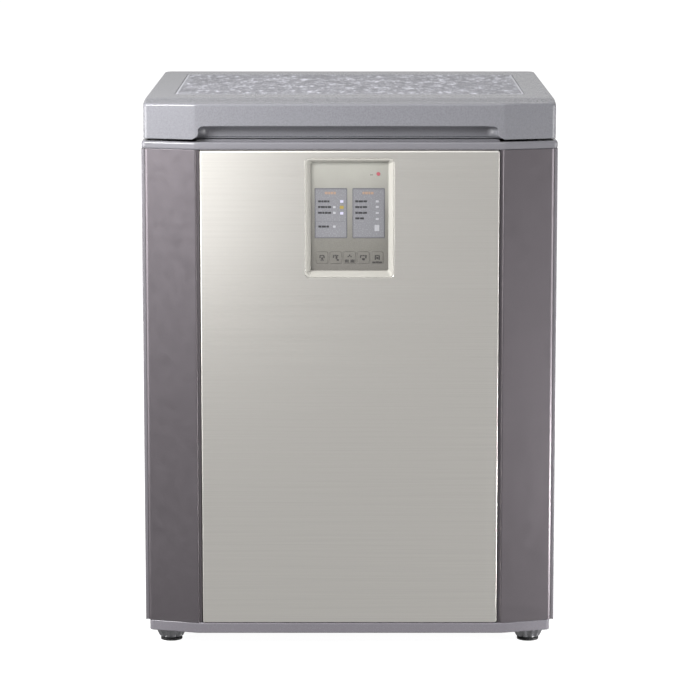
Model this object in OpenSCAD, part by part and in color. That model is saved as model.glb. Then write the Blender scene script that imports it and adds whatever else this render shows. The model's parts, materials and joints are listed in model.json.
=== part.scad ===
// Chest refrigerator for kimchi: one top lid on a rear hinge, brushed front
// panel between two canted pillar trims, control module in a pressed pocket.
// Millimetres. Origin at the centre of the footprint on the floor, +Z up,
// the front faces -Y, +X is the viewer's right.

/* [Cabinet] */
// Overall width over the side panels
cabinet_width = 660; // [640:2:700]
// Overall depth, front panel to hinge side
cabinet_depth = 650; // [640:2:690]
// Overall height, floor to lid deck
cabinet_height = 880; // [860:2:920]
// Half width of the flat front between the two folds
fold_x = 245; // [243:1:250]
// How far the front corners are set back by the canted pillars
cant_depth = 25; // [20:1:28]
// Thickness of the painted sheet metal
sheet_t = 1.2; // [0.8:0.1:1.5]
// Height of the base moulding
base_h = 17; // [14:1:20]
// Width of the base moulding, a little less than the cabinet
base_w = 647; // [644:1:656]
// Height of the top frame's visible edge
collar_h = 11; // [10:1:13]

/* [Front panel] */
// Width of the brushed panel
panel_w = 474; // [466:1:476]
// Depth of the panel's folded edges
panel_return = 12; // [8:1:14]

/* [Tub] */
// Inner width of the tub
tub_w = 534; // [500:2:534]
// Inner length of the tub, front to rear
tub_l = 501; // [480:1:501]
// Inner corner radius of the tub
tub_r = 30; // [20:1:40]
// Thickness of the drawn liner
liner_t = 1.2; // [0.8:0.1:1.5]
// Height of the tub floor above the ground
tub_floor_z = 268; // [262:1:290]
// Height of the machine room's ceiling
machine_top_z = 215; // [212:1:225]
// Number of evaporator turns round the tub
evap_turns = 6; // [3:1:7]

/* [Lid] */
// Height of the lid's side wall
lid_h = 61; // [58:1:66]
// Gap between lid and top frame, which the gasket fills
lid_gap = 5; // [5:0.5:6]
// Height of the finger recess under the lid's front edge
grip_h = 21; // [18:1:24]
// Depth of the finger recess
grip_d = 25; // [20:1:28]
// Half width of the finger recess
grip_x = 243; // [200:1:243]
// How deep the lid's inner pan reaches below the lid
plug_h = 29; // [20:1:32]
// Width of the inlay on the lid
inlay_w = 566; // [540:2:570]

/* [Control module] */
// Width of the pocket in the front panel
pocket_w = 141; // [138:1:144]
// Height of the pocket
pocket_h = 190; // [186:1:194]
// Height of the pocket's lower edge above the floor
pocket_z = 600; // [560:1:600]
// Depth of the pocket
pocket_d = 9; // [7:0.5:10]
// Side of a key
key_s = 18.5; // [16:0.5:19]
// Distance between keys
key_pitch = 21.9; // [21.5:0.1:23]

/* [Feet, wheels and hinge] */
// Radius of a levelling foot's knob
foot_r = 25; // [20:1:26]
// Distance of the levelling feet from the middle
foot_x = 290; // [270:1:292]
// Distance of the rear rollers from the middle
wheel_x = 283; // [270:1:284]
// Radius of a rear roller
wheel_r = 17; // [14:0.5:17]
// Radius of the hinge pin
pin_r = 4; // [3:0.5:4.5]
// Running clearance on pins, axles and shafts
fit = 0.05; // [0.02:0.01:0.1]

/* [Hidden] */
$fn = 48;
hw = cabinet_width / 2;
hd = cabinet_depth / 2;
zt = cabinet_height;
base_z0 = 21;
base_z1 = base_z0 + base_h;             // 38: top of the base moulding
lid_z0 = zt - lid_h;                    // 819: underside of the lid
rim_z = lid_z0 - lid_gap;               // 814: top of the top frame
col_z0 = rim_z - collar_h;              // 803: foot of the top frame
pan_z0 = base_z1 + 3;                   // 41
pan_z1 = col_z0 - 1;                    // 802
foil_y = -hd + 33;                      // inner front sheet
tub_y0 = -hd + 78;                      // -247: tub's front wall, inside
tub_y1 = tub_y0 + tub_l;                // 254
th = tub_w / 2;                         // 267
piv_y = hd - 22;                        // 303
piv_z = lid_z0 + 19;                    // 838
piv_r = 22;
hinge_x0 = 190;
hinge_x1 = 230;
grip_z = lid_z0 + grip_h;               // 840
plug_z0 = lid_z0 - plug_h;              // 790
key_z = pocket_z + 31;
keys_x = [for (i = [-2:2]) i * key_pitch];
win_w = 51.6; win_h = 80; win_z0 = pocket_z + 62;
win_x = [-29.7, 30.1];
plate_y = -hd + pocket_d;               // -316: front face of the display plate
foot_y = -275; wheel_y = 270;
fan_c = [10, 190, 125];
comp_c = [-165, 175];
inlet = [225, 84];                      // x and z of the cord inlet
cover_screws = [[-318, 60], [-318, 200], [318, 60], [318, 200], [0, 60]];
panel_screws = [for (x = [-315, 315], z = [240, 510, 780]) [x, z]];

// ---- plan and profile helpers ----------------------------------------------
function unit(v) = v / norm(v);
function arc(cx, cy, r, a0, a1, n) =
  [for (i = [0:n]) [cx + r * cos(a0 + (a1 - a0) * i / n), cy + r * sin(a0 + (a1 - a0) * i / n)]];
// one corner of an outline, rounded
function corner(p0, p1, p2, r, n) = r <= 0 ? [p1] :
  let (a = unit(p0 - p1), b = unit(p2 - p1), h = acos(a * b) / 2,
       c = p1 + unit(a + b) * r / sin(h), s = p1 + a * r / tan(h), e = p1 + b * r / tan(h),
       a0 = atan2(s[1] - c[1], s[0] - c[0]), a1 = atan2(e[1] - c[1], e[0] - c[0]),
       da = a1 - a0 > 180 ? a1 - a0 - 360 : a1 - a0 < -180 ? a1 - a0 + 360 : a1 - a0)
  arc(c[0], c[1], r, a0, a0 + da, n);
function rounded(p, r, n = 5) = [for (i = [0:len(p) - 1])
  each corner(p[(i + len(p) - 1) % len(p)], p[i], p[(i + 1) % len(p)], r[i], n)];
// rounded rectangle
function rr(x0, x1, y0, y1, r, n = 6) =
  rounded([[x0, y0], [x1, y0], [x1, y1], [x0, y1]], [r, r, r, r], n);
// cabinet plan, d inside the outermost line; yr is its rear edge
cant_k = cant_depth / (hw - fold_x);
cant_l = sqrt(1 + cant_k * cant_k);
function plan(d, yr, rc = 8, rb = 6) =
  rounded([[-(hw - d), yr], [-(hw - d), -hd + cant_depth + d * (cant_l - cant_k)],
           [-(fold_x - d * (cant_l - 1) / cant_k), -hd + d],
           [fold_x - d * (cant_l - 1) / cant_k, -hd + d],
           [hw - d, -hd + cant_depth + d * (cant_l - cant_k)], [hw - d, yr]],
          [rb, max(1, rc - d), 0, 0, max(1, rc - d), rb]);
// plan of the base moulding: its cants lie on the cabinet's
function base_plan(d, yr) = let (e = d + 0.5, bx = base_w / 2 - d, fx = fold_x - e * (cant_l - 1) / cant_k,
    yc = -hd + cant_depth + e * (cant_l - cant_k) - cant_k * (hw - e - bx))
  rounded([[-bx, yr], [-bx, yc], [-fx, -hd + e], [fx, -hd + e], [bx, yc], [bx, yr]],
          [6, max(1, 8 - d), 0, 0, max(1, 8 - d), 6]);
// slab of an outline in plan, from z0 to z1
module slab(p, z0, z1) { translate([0, 0, z0]) linear_extrude(z1 - z0) polygon(p); }
// plate of an outline drawn in X and Z, from y0 to y1
module upright(p, y0, y1) {
  translate([0, y1, 0]) rotate([90, 0, 0]) linear_extrude(y1 - y0) polygon(p);
}
// bar of an outline drawn in Y and Z, from x0 to x1
module along_x(p, x0, x1) {
  translate([x0, 0, 0]) rotate([90, 0, 90]) linear_extrude(x1 - x0) polygon(p);
}
module box(x0, x1, y0, y1, z0, z1) { translate([x0, y0, z0]) cube([x1 - x0, y1 - y0, z1 - z0]); }
module rod_x(x0, x1, y, z, r) { translate([x0, y, z]) rotate([0, 90, 0]) cylinder(r = r, h = x1 - x0); }
module rod_y(x, y0, y1, z, r) { translate([x, y1, z]) rotate([90, 0, 0]) cylinder(r = r, h = y1 - y0); }
module rod_z(x, y, z0, z1, r) { translate([x, y, z0]) cylinder(r = r, h = z1 - z0); }
// round bar between two points
module bar(a, b, r) {
  v = b - a;
  translate(a) rotate([0, acos(v[2] / norm(v)), atan2(v[1], v[0])]) cylinder(r = r, h = norm(v), $fn = 24);
}
// bent pipe through points, with slightly fuller elbows
module pipe(p, r) {
  for (i = [0:len(p) - 2]) bar(p[i], p[i + 1], r);
  if (len(p) > 2) for (i = [1:len(p) - 2]) translate(p[i]) sphere(r = r * 1.12, $fn = 24);
}
module both() { children(); mirror([1, 0, 0]) children(); }

// ---- cabinet shell ----------------------------------------------------------
module side_panel(s) {
  color([0.47, 0.46, 0.48]) mirror([s > 0 ? 1 : 0, 0, 0]) difference() {
    union() {
      box(-hw, -hw + sheet_t, -hd + cant_depth + 1, hd - 5, base_z1, col_z0);
      box(-hw, -hw + 29, foil_y + sheet_t, foil_y + 2 * sheet_t, base_z1 + 2, col_z0);
      box(-hw, -hw + 24, hd - 8.2, hd - 8.2 + sheet_t, base_z1 + 2, col_z0);
    }
    for (p = concat(panel_screws, cover_screws)) if (p[0] < 0) rod_y(p[0], hd - 12, hd - 2, p[1], 2.1);
  }
}
module side_panel_left() { side_panel(-1); }
module side_panel_right() { side_panel(1); }

module rear_panel() {
  color([0.72, 0.72, 0.73]) difference() {
    box(-hw + 4, hw - 4, hd - 7, hd - 7 + sheet_t, machine_top_z, col_z0);
    for (p = panel_screws) rod_y(p[0], hd - 12, hd - 2, p[1], 2.1);
    // stiffening grooves pressed in
    for (x = [-180, 0, 180]) box(x - 6, x + 6, hd - 7 + sheet_t * 0.6, hd, machine_top_z + 60, col_z0 - 60);
  }
}

module front_inner_sheet() {
  color([0.55, 0.55, 0.57]) difference() {
    box(-hw + 6, hw - 6, foil_y, foil_y + sheet_t, base_z1, col_z0);
    rod_y(45, foil_y - 5, foil_y + 5, 120, 6);
  }
}

module front_panel() {
  pw = panel_w / 2;
  color([0.78, 0.77, 0.75]) difference() {
    upright(rr(-pw, pw, pan_z0, pan_z1, 1.5, 3), -hd, -hd + panel_return);
    upright(rr(-pw + sheet_t, pw - sheet_t, pan_z0 + sheet_t, pan_z1 - sheet_t, 0.6, 3),
            -hd + sheet_t, -hd + panel_return + 1);
    upright(rr(-pocket_w / 2 - 0.1, pocket_w / 2 + 0.1, pocket_z - 0.1, pocket_z + pocket_h + 0.1, 6.5),
            -hd - 1, -hd + 3);
  }
}

module panel_backing() {
  pw = panel_w / 2 - sheet_t - 0.3;
  color([0.93, 0.93, 0.9]) difference() {
    box(-pw, pw, -hd + sheet_t, foil_y, pan_z0 + 3, pan_z1 - 3);
    box(-80, 80, -hd, foil_y + 1, pocket_z - 10, pan_z1 + 1);
    box(39, 51, -hd + 10, foil_y + 1, 112, pocket_z);
  }
}

module pillar(s) {
  x0 = -fold_x + 1.5;
  o = rounded([[x0, foil_y - 0.2], [x0, -hd + 0.2], [-hw + 3, -hd + cant_depth - 0.4], [-hw + 3, -hd + 34]],
              [0, 3, 8, 0], 5);
  i = rounded([[-hw + 5.5, -hd + 34], [-hw + 5.5, -hd + cant_depth + 1.6], [x0 - 2.5, -hd + 3.6], [x0 - 2.5, foil_y - 0.2]],
              [0, 5.5, 1, 0], 5);
  color([0.42, 0.4, 0.42]) mirror([s > 0 ? 1 : 0, 0, 0]) {
    difference() {
      union() {
        slab(concat(o, i), base_z1, col_z0);
        // clip webs that hold the trim to the inner sheet
        for (z = [140, 420, 700]) box(x0 - 40, x0 - 2, -hd + 20, foil_y - 0.2, z, z + 3);
      }
    }
    for (z = [140, 420, 700]) box(x0 - 40, x0 - 37, -hd + 12.5, foil_y - 0.2, z, z + 24);
  }
}
module pillar_trim_left() { pillar(-1); }
module pillar_trim_right() { pillar(1); }

module top_frame() {
  x0 = th - 1; y0 = tub_y0 + 1; y1 = tub_y1 - 1;
  color([0.62, 0.62, 0.64]) difference() {
    union() {
      difference() {
        slab(plan(0, hd), col_z0, rim_z);
        slab(plan(3, hd - 3), col_z0 - 1, rim_z - 3);
      }
      intersection() {
        slab(plan(1, hd - 1), col_z0, rim_z - 1);
        union() {
          for (x = [-200, -100, 0, 100, 200]) box(x - 1, x + 1, -hd, hd, col_z0, rim_z - 1);
          for (y = [-150, 0, 150]) box(-hw, hw, y - 1, y + 1, col_z0, rim_z - 1);
        }
      }
      slab(rr(-x0, x0, y0, y1, tub_r - 1), col_z0 - 7, rim_z - 1);
    }
    slab(rr(-x0 + 3, x0 - 3, y0 + 3, y1 - 3, tub_r - 4), col_z0 - 8, rim_z + 1);
  }
}

module base_frame() {
  color([0.5, 0.5, 0.51]) difference() {
    slab(base_plan(0, hd - 5), base_z0, base_z1);
    slab(base_plan(3, hd - 8), base_z0 - 1, base_z1 - 2.5);
    box(-306, 306, -hd + 42, hd - 24, base_z0, base_z1 + 1);
    both() rod_z(foot_x, foot_y, base_z0 - 1, base_z1 + 1, 19.4);
  }
}

module base_plate() {
  color([0.66, 0.67, 0.68]) difference() {
    union() {
      box(-hw + 7, hw - 7, foil_y + 3, hd - 9, base_z1, base_z1 + 1.5);
      box(-hw + 26, hw - 26, hd - 9, hd - 7, base_z1, base_z1 + 31);
    }
    both() rod_z(foot_x, foot_y, base_z1 - 1, base_z1 + 3, 7);
    rod_y(0, hd - 14, hd - 2, 60, 2.1);
    for (x = [-75, 75], y = [-58, 58]) rod_z(comp_c[0] + x, comp_c[1] + y, base_z1 - 1, base_z1 + 3, 3.2);
  }
}

// ---- insulation and tub -----------------------------------------------------
module evap_levels() { for (i = [0:evap_turns - 1]) translate([0, 0, 330 + i * 400 / max(1, evap_turns - 1)]) children(); }
ex = th + liner_t + 4.1; ey0 = tub_y0 - liner_t - 4.1; ey1 = tub_y1 + liner_t + 4.1; er = tub_r + 5.3;

module foam_body() {
  sx = hw - sheet_t; f0 = foil_y + 2 * sheet_t; f1 = foil_y + sheet_t; r0 = hd - 8.2; r1 = hd - 7;
  color([0.93, 0.86, 0.62]) difference() {
    slab([[-sx, f0], [-hw + 29, f0], [-hw + 29, f1], [hw - 29, f1], [hw - 29, f0], [sx, f0],
          [sx, r0], [hw - 24, r0], [hw - 24, r1], [-hw + 24, r1], [-hw + 24, r0], [-sx, r0]],
         machine_top_z, col_z0);
    slab(rr(-th - liner_t, th + liner_t, tub_y0 - liner_t, tub_y1 + liner_t, tub_r + liner_t),
         tub_floor_z - liner_t, col_z0 + 1);
    slab(rr(-th - 14, th + 14, tub_y0 - 14, tub_y1 + 14, tub_r + 13), col_z0 - liner_t, col_z0 + 1);
    evap_levels() slab(rr(-ex - 4.6, ex + 4.6, ey0 - 4.6, ey1 + 4.6, er + 4), -4.6, 4.6);
    box(95, 105, tub_y1, ey1 + 4.6, 325, 735);
    rod_z(100, ey1, machine_top_z - 1, 330, 5.5);
    rod_z(-100, ey1, machine_top_z - 1, 330, 5.5);
    for (p = panel_screws) rod_y(p[0], hd - 20, hd, p[1], 2.2);
  }
}

module inner_liner() {
  color([0.86, 0.87, 0.88]) difference() {
    union() {
      slab(rr(-th - liner_t, th + liner_t, tub_y0 - liner_t, tub_y1 + liner_t, tub_r + liner_t), tub_floor_z - liner_t, col_z0);
      slab(rr(-th - 13.5, th + 13.5, tub_y0 - 13.5, tub_y1 + 13.5, tub_r + 13), col_z0 - liner_t, col_z0);
    }
    slab(rr(-th, th, tub_y0, tub_y1, tub_r), tub_floor_z, col_z0 + 1);
  }
}

module tube_corner(x, y, a, r) {
  translate([x, y, 0]) rotate(a) rotate_extrude(angle = 90) translate([er, 0]) circle(r = r, $fn = 24);
}
module evaporator_coil() {
  color([0.8, 0.5, 0.35]) {
    evap_levels() {
      rod_x(-ex + er, ex - er, ey0, 0, 4); rod_x(-ex + er, ex - er, ey1, 0, 4);
      rod_y(-ex, ey0 + er, ey1 - er, 0, 4); rod_y(ex, ey0 + er, ey1 - er, 0, 4);
      tube_corner(ex - er, ey0 + er, -90, 4); tube_corner(ex - er, ey1 - er, 0, 4);
      tube_corner(-ex + er, ey1 - er, 90, 4); tube_corner(-ex + er, ey0 + er, 180, 4);
    }
    // header down to the machine room, and the suction end
    rod_z(100, ey1, 190, 731.3, 2.6);
    rod_z(-100, ey1, 190, 331.3, 2.6);
  }
}

// ---- rear and machine room --------------------------------------------------
module machine_cover() {
  color([0.6, 0.6, 0.62]) difference() {
    box(-hw + 4, hw - 4, hd - 7, hd - 7 + sheet_t, base_z1 + 6, machine_top_z - 0.5);
    for (p = cover_screws) rod_y(p[0], hd - 12, hd - 2, p[1], 2.1);
    for (x = [-240, -130, -20, 90], k = [0:8]) box(x, x + 80, hd - 8, hd - 5, 80 + k * 12, 85 + k * 12);
    rod_y(inlet[0], hd - 9, hd - 4, inlet[1], 10);
  }
}

module cord_inlet() {
  color([0.12, 0.12, 0.13]) difference() {
    union() {
      rod_y(inlet[0], hd - 7 + sheet_t, hd - 2.5, inlet[1], 14);
      rod_y(inlet[0], hd - 12, hd - 5, inlet[1], 9.9);
      rod_y(inlet[0], hd - 12, hd - 7.05, inlet[1], 12.5);
    }
    rod_y(inlet[0], hd - 13, hd, inlet[1], 4);
  }
}

module rear_screws() {
  color([0.75, 0.75, 0.76]) for (p = concat(cover_screws, panel_screws)) {
    rod_y(p[0], hd - 7 + sheet_t, hd - 3.6, p[1], 4);
    rod_y(p[0], hd - 16, hd - 7 + sheet_t + 0.2, p[1], 1.9);
  }
}

module compressor() {
  color([0.16, 0.16, 0.17]) translate([comp_c[0], comp_c[1], 0]) {
    difference() {
      union() {
        // welded can, hollow, with its seam band
        rotate_extrude() difference() {
          polygon(concat([[0, 62]], arc(52, 80, 18, -90, 0, 5), arc(40, 165, 30, 0, 80, 6), [[0, 196]]));
          polygon(concat([[0, 69]], arc(52, 80, 11, -90, 0, 5), arc(40, 165, 23, 0, 80, 6), [[0, 188]]));
        }
        translate([0, 0, 128]) cylinder(r = 73, h = 6);
      }
      translate([0, 0, 127]) cylinder(r = 64, h = 8);
    }
    difference() {
      slab(rr(-92, 92, -74, 74, 14), 58, 62.3);
      for (x = [-75, 75], y = [-58, 58]) rod_z(x, y, 57, 63, 8);
    }
    rod_x(60, 84, 20, 110, 4.5);
    rod_x(60, 84, -20, 150, 4.5);
  }
}

module compressor_mounts() {
  color([0.1, 0.1, 0.11]) for (x = [-75, 75], y = [-58, 58]) translate([comp_c[0] + x, comp_c[1] + y, 0]) {
    rod_z(0, 0, base_z1 + 1.5, 57.9, 14);
    rod_z(0, 0, base_z1 - 2, base_z1 + 2, 3.1);
    rod_z(0, 0, 57, 62.6, 7.8);
    rod_z(0, 0, 62.5, 67, 11);
  }
}

module terminal_cover() {
  color([0.14, 0.14, 0.15]) difference() {
    slab(rr(comp_c[0] - 26, comp_c[0] + 26, comp_c[1] - 96, comp_c[1] - 55, 4), 84, 126);
    rod_z(comp_c[0], comp_c[1], 80, 130, 73.3);
  }
}

// one bank of the condenser: passes along Y, joined by return bends
module condenser_bank(x) {
  n = 6; p = 22; z0 = 66; y0 = 125; y1 = 255;
  for (i = [0:n - 1]) rod_y(x, y0, y1, z0 + i * p, 3.2);
  for (i = [0:n - 2]) translate([x, i % 2 == 0 ? y1 : y0, z0 + (i + 0.5) * p])
    rotate([0, -90, 0]) rotate(i % 2 == 0 ? 0 : 180)
      rotate_extrude(angle = 180, $fn = 32) translate([p / 2, 0]) circle(r = 3.2, $fn = 16);
}
module condenser_coil() { color([0.15, 0.15, 0.16]) { condenser_bank(112); condenser_bank(134); } }

module fan_bracket() {
  c = fan_c;
  color([0.7, 0.71, 0.72]) {
    difference() {
      box(c[0] + 14, c[0] + 16, c[1] - 76, c[1] + 76, base_z1 + 1.5, 208);
      rod_x(c[0] + 10, c[0] + 20, c[1], c[2], 68);
    }
    box(c[0] + 14, c[0] + 44, c[1] - 76, c[1] + 76, base_z1 + 1.5, base_z1 + 3);
    // spider that carries the motor
    difference() {
      union() {
        for (a = [45, 135, 225, 315]) translate([c[0] + 16, c[1], c[2]]) rotate([a, 0, 0]) translate([0, -6, 20]) cube([2, 12, 60]);
        rod_x(c[0] + 16, c[0] + 18, c[1], c[2], 26);
      }
      rod_x(c[0] + 15, c[0] + 20, c[1], c[2], 8);
      box(c[0] + 10, c[0] + 30, c[1] - 90, c[1] + 90, 0, base_z1 + 3.1);
    }
  }
}
module fan_motor() {
  c = fan_c;
  color([0.2, 0.2, 0.22]) {
    rod_x(c[0] + 18, c[0] + 52, c[1], c[2], 25);
    rod_x(c[0] + 14, c[0] + 19, c[1], c[2], 7.5);
    rod_x(c[0] - 12, c[0] + 15, c[1], c[2], 3);
    both2(c) rod_x(c[0] + 52, c[0] + 56, c[1] + 15, c[2], 4);
  }
}
module both2(c) { children(); translate([0, 2 * c[1], 0]) mirror([0, 1, 0]) children(); }
module fan_blade() {
  c = fan_c;
  color([0.16, 0.17, 0.18]) difference() {
    union() {
      rod_x(c[0] - 10, c[0] + 8, c[1], c[2], 15);
      intersection() {
        rod_x(c[0] - 11, c[0] + 9, c[1], c[2], 62);
        for (a = [0:72:288]) translate([c[0] - 1, c[1], c[2]]) rotate([a, 0, 0])
          translate([0, 0, 37]) rotate([0, 0, 32]) cube([1.6, 40, 48], center = true);
      }
    }
    rod_x(c[0] - 14, c[0] + 12, c[1], c[2], 3 + fit);
  }
}

module filter_drier() {
  color([0.78, 0.48, 0.32]) translate([176, 60, 0]) {
    rod_z(0, 0, 80, 150, 10);
    translate([0, 0, 150]) cylinder(r1 = 10, r2 = 4, h = 12);
    translate([0, 0, 68]) cylinder(r1 = 4, r2 = 10, h = 12);
  }
}
module refrigerant_lines() {
  cx = comp_c[0] + 84.2;
  color([0.8, 0.5, 0.35]) {
    // discharge: can to condenser
    pipe([[cx, comp_c[1] - 20, 150], [cx + 25, comp_c[1] - 20, 150], [cx + 25, 80, 150], [134, 80, 150], [134, 80, 176], [134, 124.8, 176]], 2.6);
    // condenser to drier
    pipe([[112, 124.8, 66], [112, 92, 66], [176, 92, 50], [176, 60, 50], [176, 60, 67.8]], 2.6);
    // link between the condenser's two banks
    pipe([[134, 124.8, 66], [134, 108, 66], [123, 108, 66], [123, 108, 176], [112, 108, 176], [112, 124.8, 176]], 2.6);
    // capillary: drier to evaporator
    pipe([[176, 60, 162.2], [176, 60, 186], [100, 60, 186], [100, 230, 186], [100, ey1, 186], [100, ey1, 189.8]], 1.8);
    // suction: evaporator to can
    pipe([[-100, ey1, 189.8], [-100, ey1, 184], [-60, ey1, 184], [-60, comp_c[1] + 20, 184], [-60, comp_c[1] + 20, 110], [cx, comp_c[1] + 20, 110]], 3.4);
  }
}

module pcb_box() {
  color([0.85, 0.85, 0.83]) difference() {
    box(190, 300, 120, 250, 60, 180);
    box(192, 298, 119, 248, 62, 178);
  }
  color([0.85, 0.85, 0.83]) for (x = [200, 290], z = [70, 170]) rod_y(x, 240, 248.5, z, 4);
}
module main_pcb() {
  color([0.12, 0.36, 0.2]) {
    box(194, 296, 238.4, 240, 64, 176);
    box(204, 244, 206, 238.6, 76, 112);
    for (x = [262, 282]) rod_y(x, 210, 238.6, 92, 8);
    box(206, 288, 228, 238.6, 150, 162);
    box(256, 284, 230, 238.6, 118, 136);
    box(236, 254, 228, 238.6, 113, 127);
  }
}
module wiring_harness() {
  color([0.15, 0.15, 0.16])
    pipe([[45, -303, pocket_z + 5.3], [45, -303, 120], [45, -120, 120], [245, -120, 120], [245, 227.8, 120]], 3.5);
}

// ---- control module ---------------------------------------------------------
module control_bezel() {
  w = pocket_w / 2 - 0.1; z0 = pocket_z + 0.1; z1 = pocket_z + pocket_h - 0.1;
  color([0.62, 0.61, 0.6]) difference() {
    union() {
      upright(rr(-w, w, z0, z1, 6.4), -hd, plate_y);
      upright(rr(-w - 6, w + 6, z0 - 6, z1 + 6, 8), -hd + sheet_t, -hd + sheet_t + 2);
    }
    hull() {
      upright(rr(-w + 1.2, w - 1.2, z0 + 1.2, z1 - 1.2, 5.6), -hd - 1, -hd - 0.5);
      upright(rr(-61.5, 61.5, z0 + 10, z1 - 7, 3), plate_y + 0.5, plate_y + 1);
    }
  }
}
module display_plate() {
  color([0.6, 0.59, 0.58]) difference() {
    upright(rr(-65.5, 65.5, pocket_z + 6.5, pocket_z + 186.5, 4), plate_y, plate_y + 3);
    for (x = win_x) upright(rr(x - win_w / 2, x + win_w / 2, win_z0, win_z0 + win_h, 2), plate_y - 1, plate_y + 4);
    for (x = keys_x) upright(rr(x - key_s / 2 - 0.2, x + key_s / 2 + 0.2, key_z - key_s / 2 - 0.2, key_z + key_s / 2 + 0.2, 2.2, 3), plate_y - 1, plate_y + 4);
    rod_y(45.6, plate_y - 1, plate_y + 4, pocket_z + 164.2, 3.1);
  }
}
module window(x) {
  color([0.62, 0.62, 0.66]) upright(rr(x - win_w / 2 + 0.1, x + win_w / 2 - 0.1, win_z0 + 0.1, win_z0 + win_h - 0.1, 1.9), plate_y - 0.3, plate_y + 2.4);
}
module window_left() { window(win_x[0]); }
module window_right() { window(win_x[1]); }
// light towers between the board and the windows
module status_leds() {
  color([0.95, 0.95, 0.9]) {
    for (z = [100, 111, 120]) box(-14.6, -9.4, plate_y + 2.6, plate_y + 10.4, pocket_z + z, pocket_z + z + 5);
    for (z = [91, 100, 110, 119, 128]) box(41, 46, plate_y + 2.6, plate_y + 10.4, pocket_z + z, pocket_z + z + 4.5);
  }
}
module power_indicator() {
  color([0.85, 0.2, 0.18]) {
    rod_y(45.6, plate_y - 0.4, plate_y + 3.5, pocket_z + 164.2, 2.9);
    rod_y(45.6, plate_y + 3.1, plate_y + 10.4, pocket_z + 164.2, 3.8);
  }
}
module display_pcb() {
  color([0.1, 0.32, 0.18]) {
    box(-59, 59, plate_y + 10.4, plate_y + 12, pocket_z + 11, pocket_z + 181);
    // tactile switches under the keys
    for (x = keys_x) {
      box(x - 3, x + 3, plate_y + 8.6, plate_y + 10.6, key_z - 3, key_z + 3);
      rod_y(x, plate_y + 7.8, plate_y + 8.8, key_z, 1.7);
    }
    box(10, 40, plate_y + 12, plate_y + 14.5, pocket_z + 14, pocket_z + 22);
  }
}
module control_box() {
  color([0.2, 0.2, 0.21]) {
    difference() {
      upright(rr(-65, 65, pocket_z + 5.5, pocket_z + 187.5, 5), plate_y + 3, plate_y + 18);
      upright(rr(-63, 63, pocket_z + 7.5, pocket_z + 185.5, 3), plate_y + 2, plate_y + 16);
    }
    for (x = [-54, 54], z = [16, 90, 176]) rod_y(x, plate_y + 12, plate_y + 16.2, pocket_z + z, 3);
  }
}
module key(i) {
  x = keys_x[i]; s = key_s / 2;
  color([0.6, 0.59, 0.58]) {
    upright(rr(x - s, x + s, key_z - s, key_z + s, 2, 3), plate_y - 0.6, plate_y + 3.5);
    upright(rr(x - s - 0.9, x + s + 0.9, key_z - s - 1, key_z + s + 1, 2, 3), plate_y + 3.3, plate_y + 4.4);
    rod_y(x, plate_y + 4.2, plate_y + 6.5, key_z, 2);
  }
}
module button_1() { key(0); }
module button_2() { key(1); }
module button_3() { key(2); }
module button_4() { key(3); }
module button_5() { key(4); }

// ---- hinge ------------------------------------------------------------------
module hinge_brackets() {
  color([0.55, 0.56, 0.57]) both() {
    difference() {
      union() {
        box(192, 228, 288, 321, rim_z, rim_z + 2.5);
        for (x = [195, 222]) {
          along_x([[290, rim_z + 1], [316, rim_z + 1], [313.2, piv_z], [292.8, piv_z]], x, x + 3);
          rod_x(x, x + 3, piv_y, piv_z, 11);
        }
      }
      rod_x(190, 230, piv_y, piv_z, pin_r + fit);
    }
  }
}
module hinge_pins() {
  color([0.8, 0.8, 0.81]) both() {
    rod_x(193, 228, piv_y, piv_z, pin_r);
    rod_x(191.2, 194.9, piv_y, piv_z, 6.5);
    rod_x(225.1, 228.8, piv_y, piv_z, 6.5);
  }
}
module hinge_springs() {
  color([0.7, 0.7, 0.72]) both() for (x = [200.4, 202.7, 205])
    translate([x, piv_y, piv_z]) rotate([0, 90, 0]) rotate_extrude() translate([6.6, 0]) circle(r = 0.9, $fn = 16);
}
module lid_knuckles() {
  color([0.5, 0.51, 0.52]) both() difference() {
    union() {
      rod_x(207, 221.5, piv_y, piv_z, 9);
      box(207, 221.5, 270, piv_y - 3, piv_z - 5, piv_z + 5);
      box(192, 228, 248, 276.5, piv_z - 4, piv_z + 4);
    }
    rod_x(200, 226, piv_y, piv_z, pin_r + fit);
  }
}

// ---- feet and rollers -------------------------------------------------------
module foot_sockets() {
  color([0.6, 0.6, 0.62]) both() difference() {
    rod_z(foot_x, foot_y, 26, base_z1, 19);
    rod_z(foot_x, foot_y, 25, base_z1 + 1, 5 + fit);
  }
}
module foot_knob(s) {
  color([0.09, 0.09, 0.1]) translate([s * foot_x, foot_y, 0]) {
    difference() {
      translate([0, 0, 6]) rotate_extrude() polygon([[0, 0], [19, 0], [20.5, 2], [foot_r - 1, 11], [foot_r, 12.5], [foot_r - 1, 14.5], [0, 14.5]]);
      // grip flutes
      for (a = [0:20:340]) rotate(a) translate([foot_r + 1.2, 0, 5]) cylinder(r = 2.4, h = 17, $fn = 16);
    }
    rod_z(0, 0, 20, 66, 5);
    rod_z(0, 0, 3, 6.5, 4);
  }
}
module foot_knob_left() { foot_knob(-1); }
module foot_knob_right() { foot_knob(1); }
module foot_pad(s) {
  color([0.07, 0.07, 0.07]) translate([s * foot_x, foot_y, 0]) difference() {
    union() { rod_z(0, 0, 0, 4, 17.5); rod_z(0, 0, 3.5, 5.7, 14); }
    rod_z(0, 0, 2.7, 7, 4 + fit);
  }
}
module foot_pad_left() { foot_pad(-1); }
module foot_pad_right() { foot_pad(1); }

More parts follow.
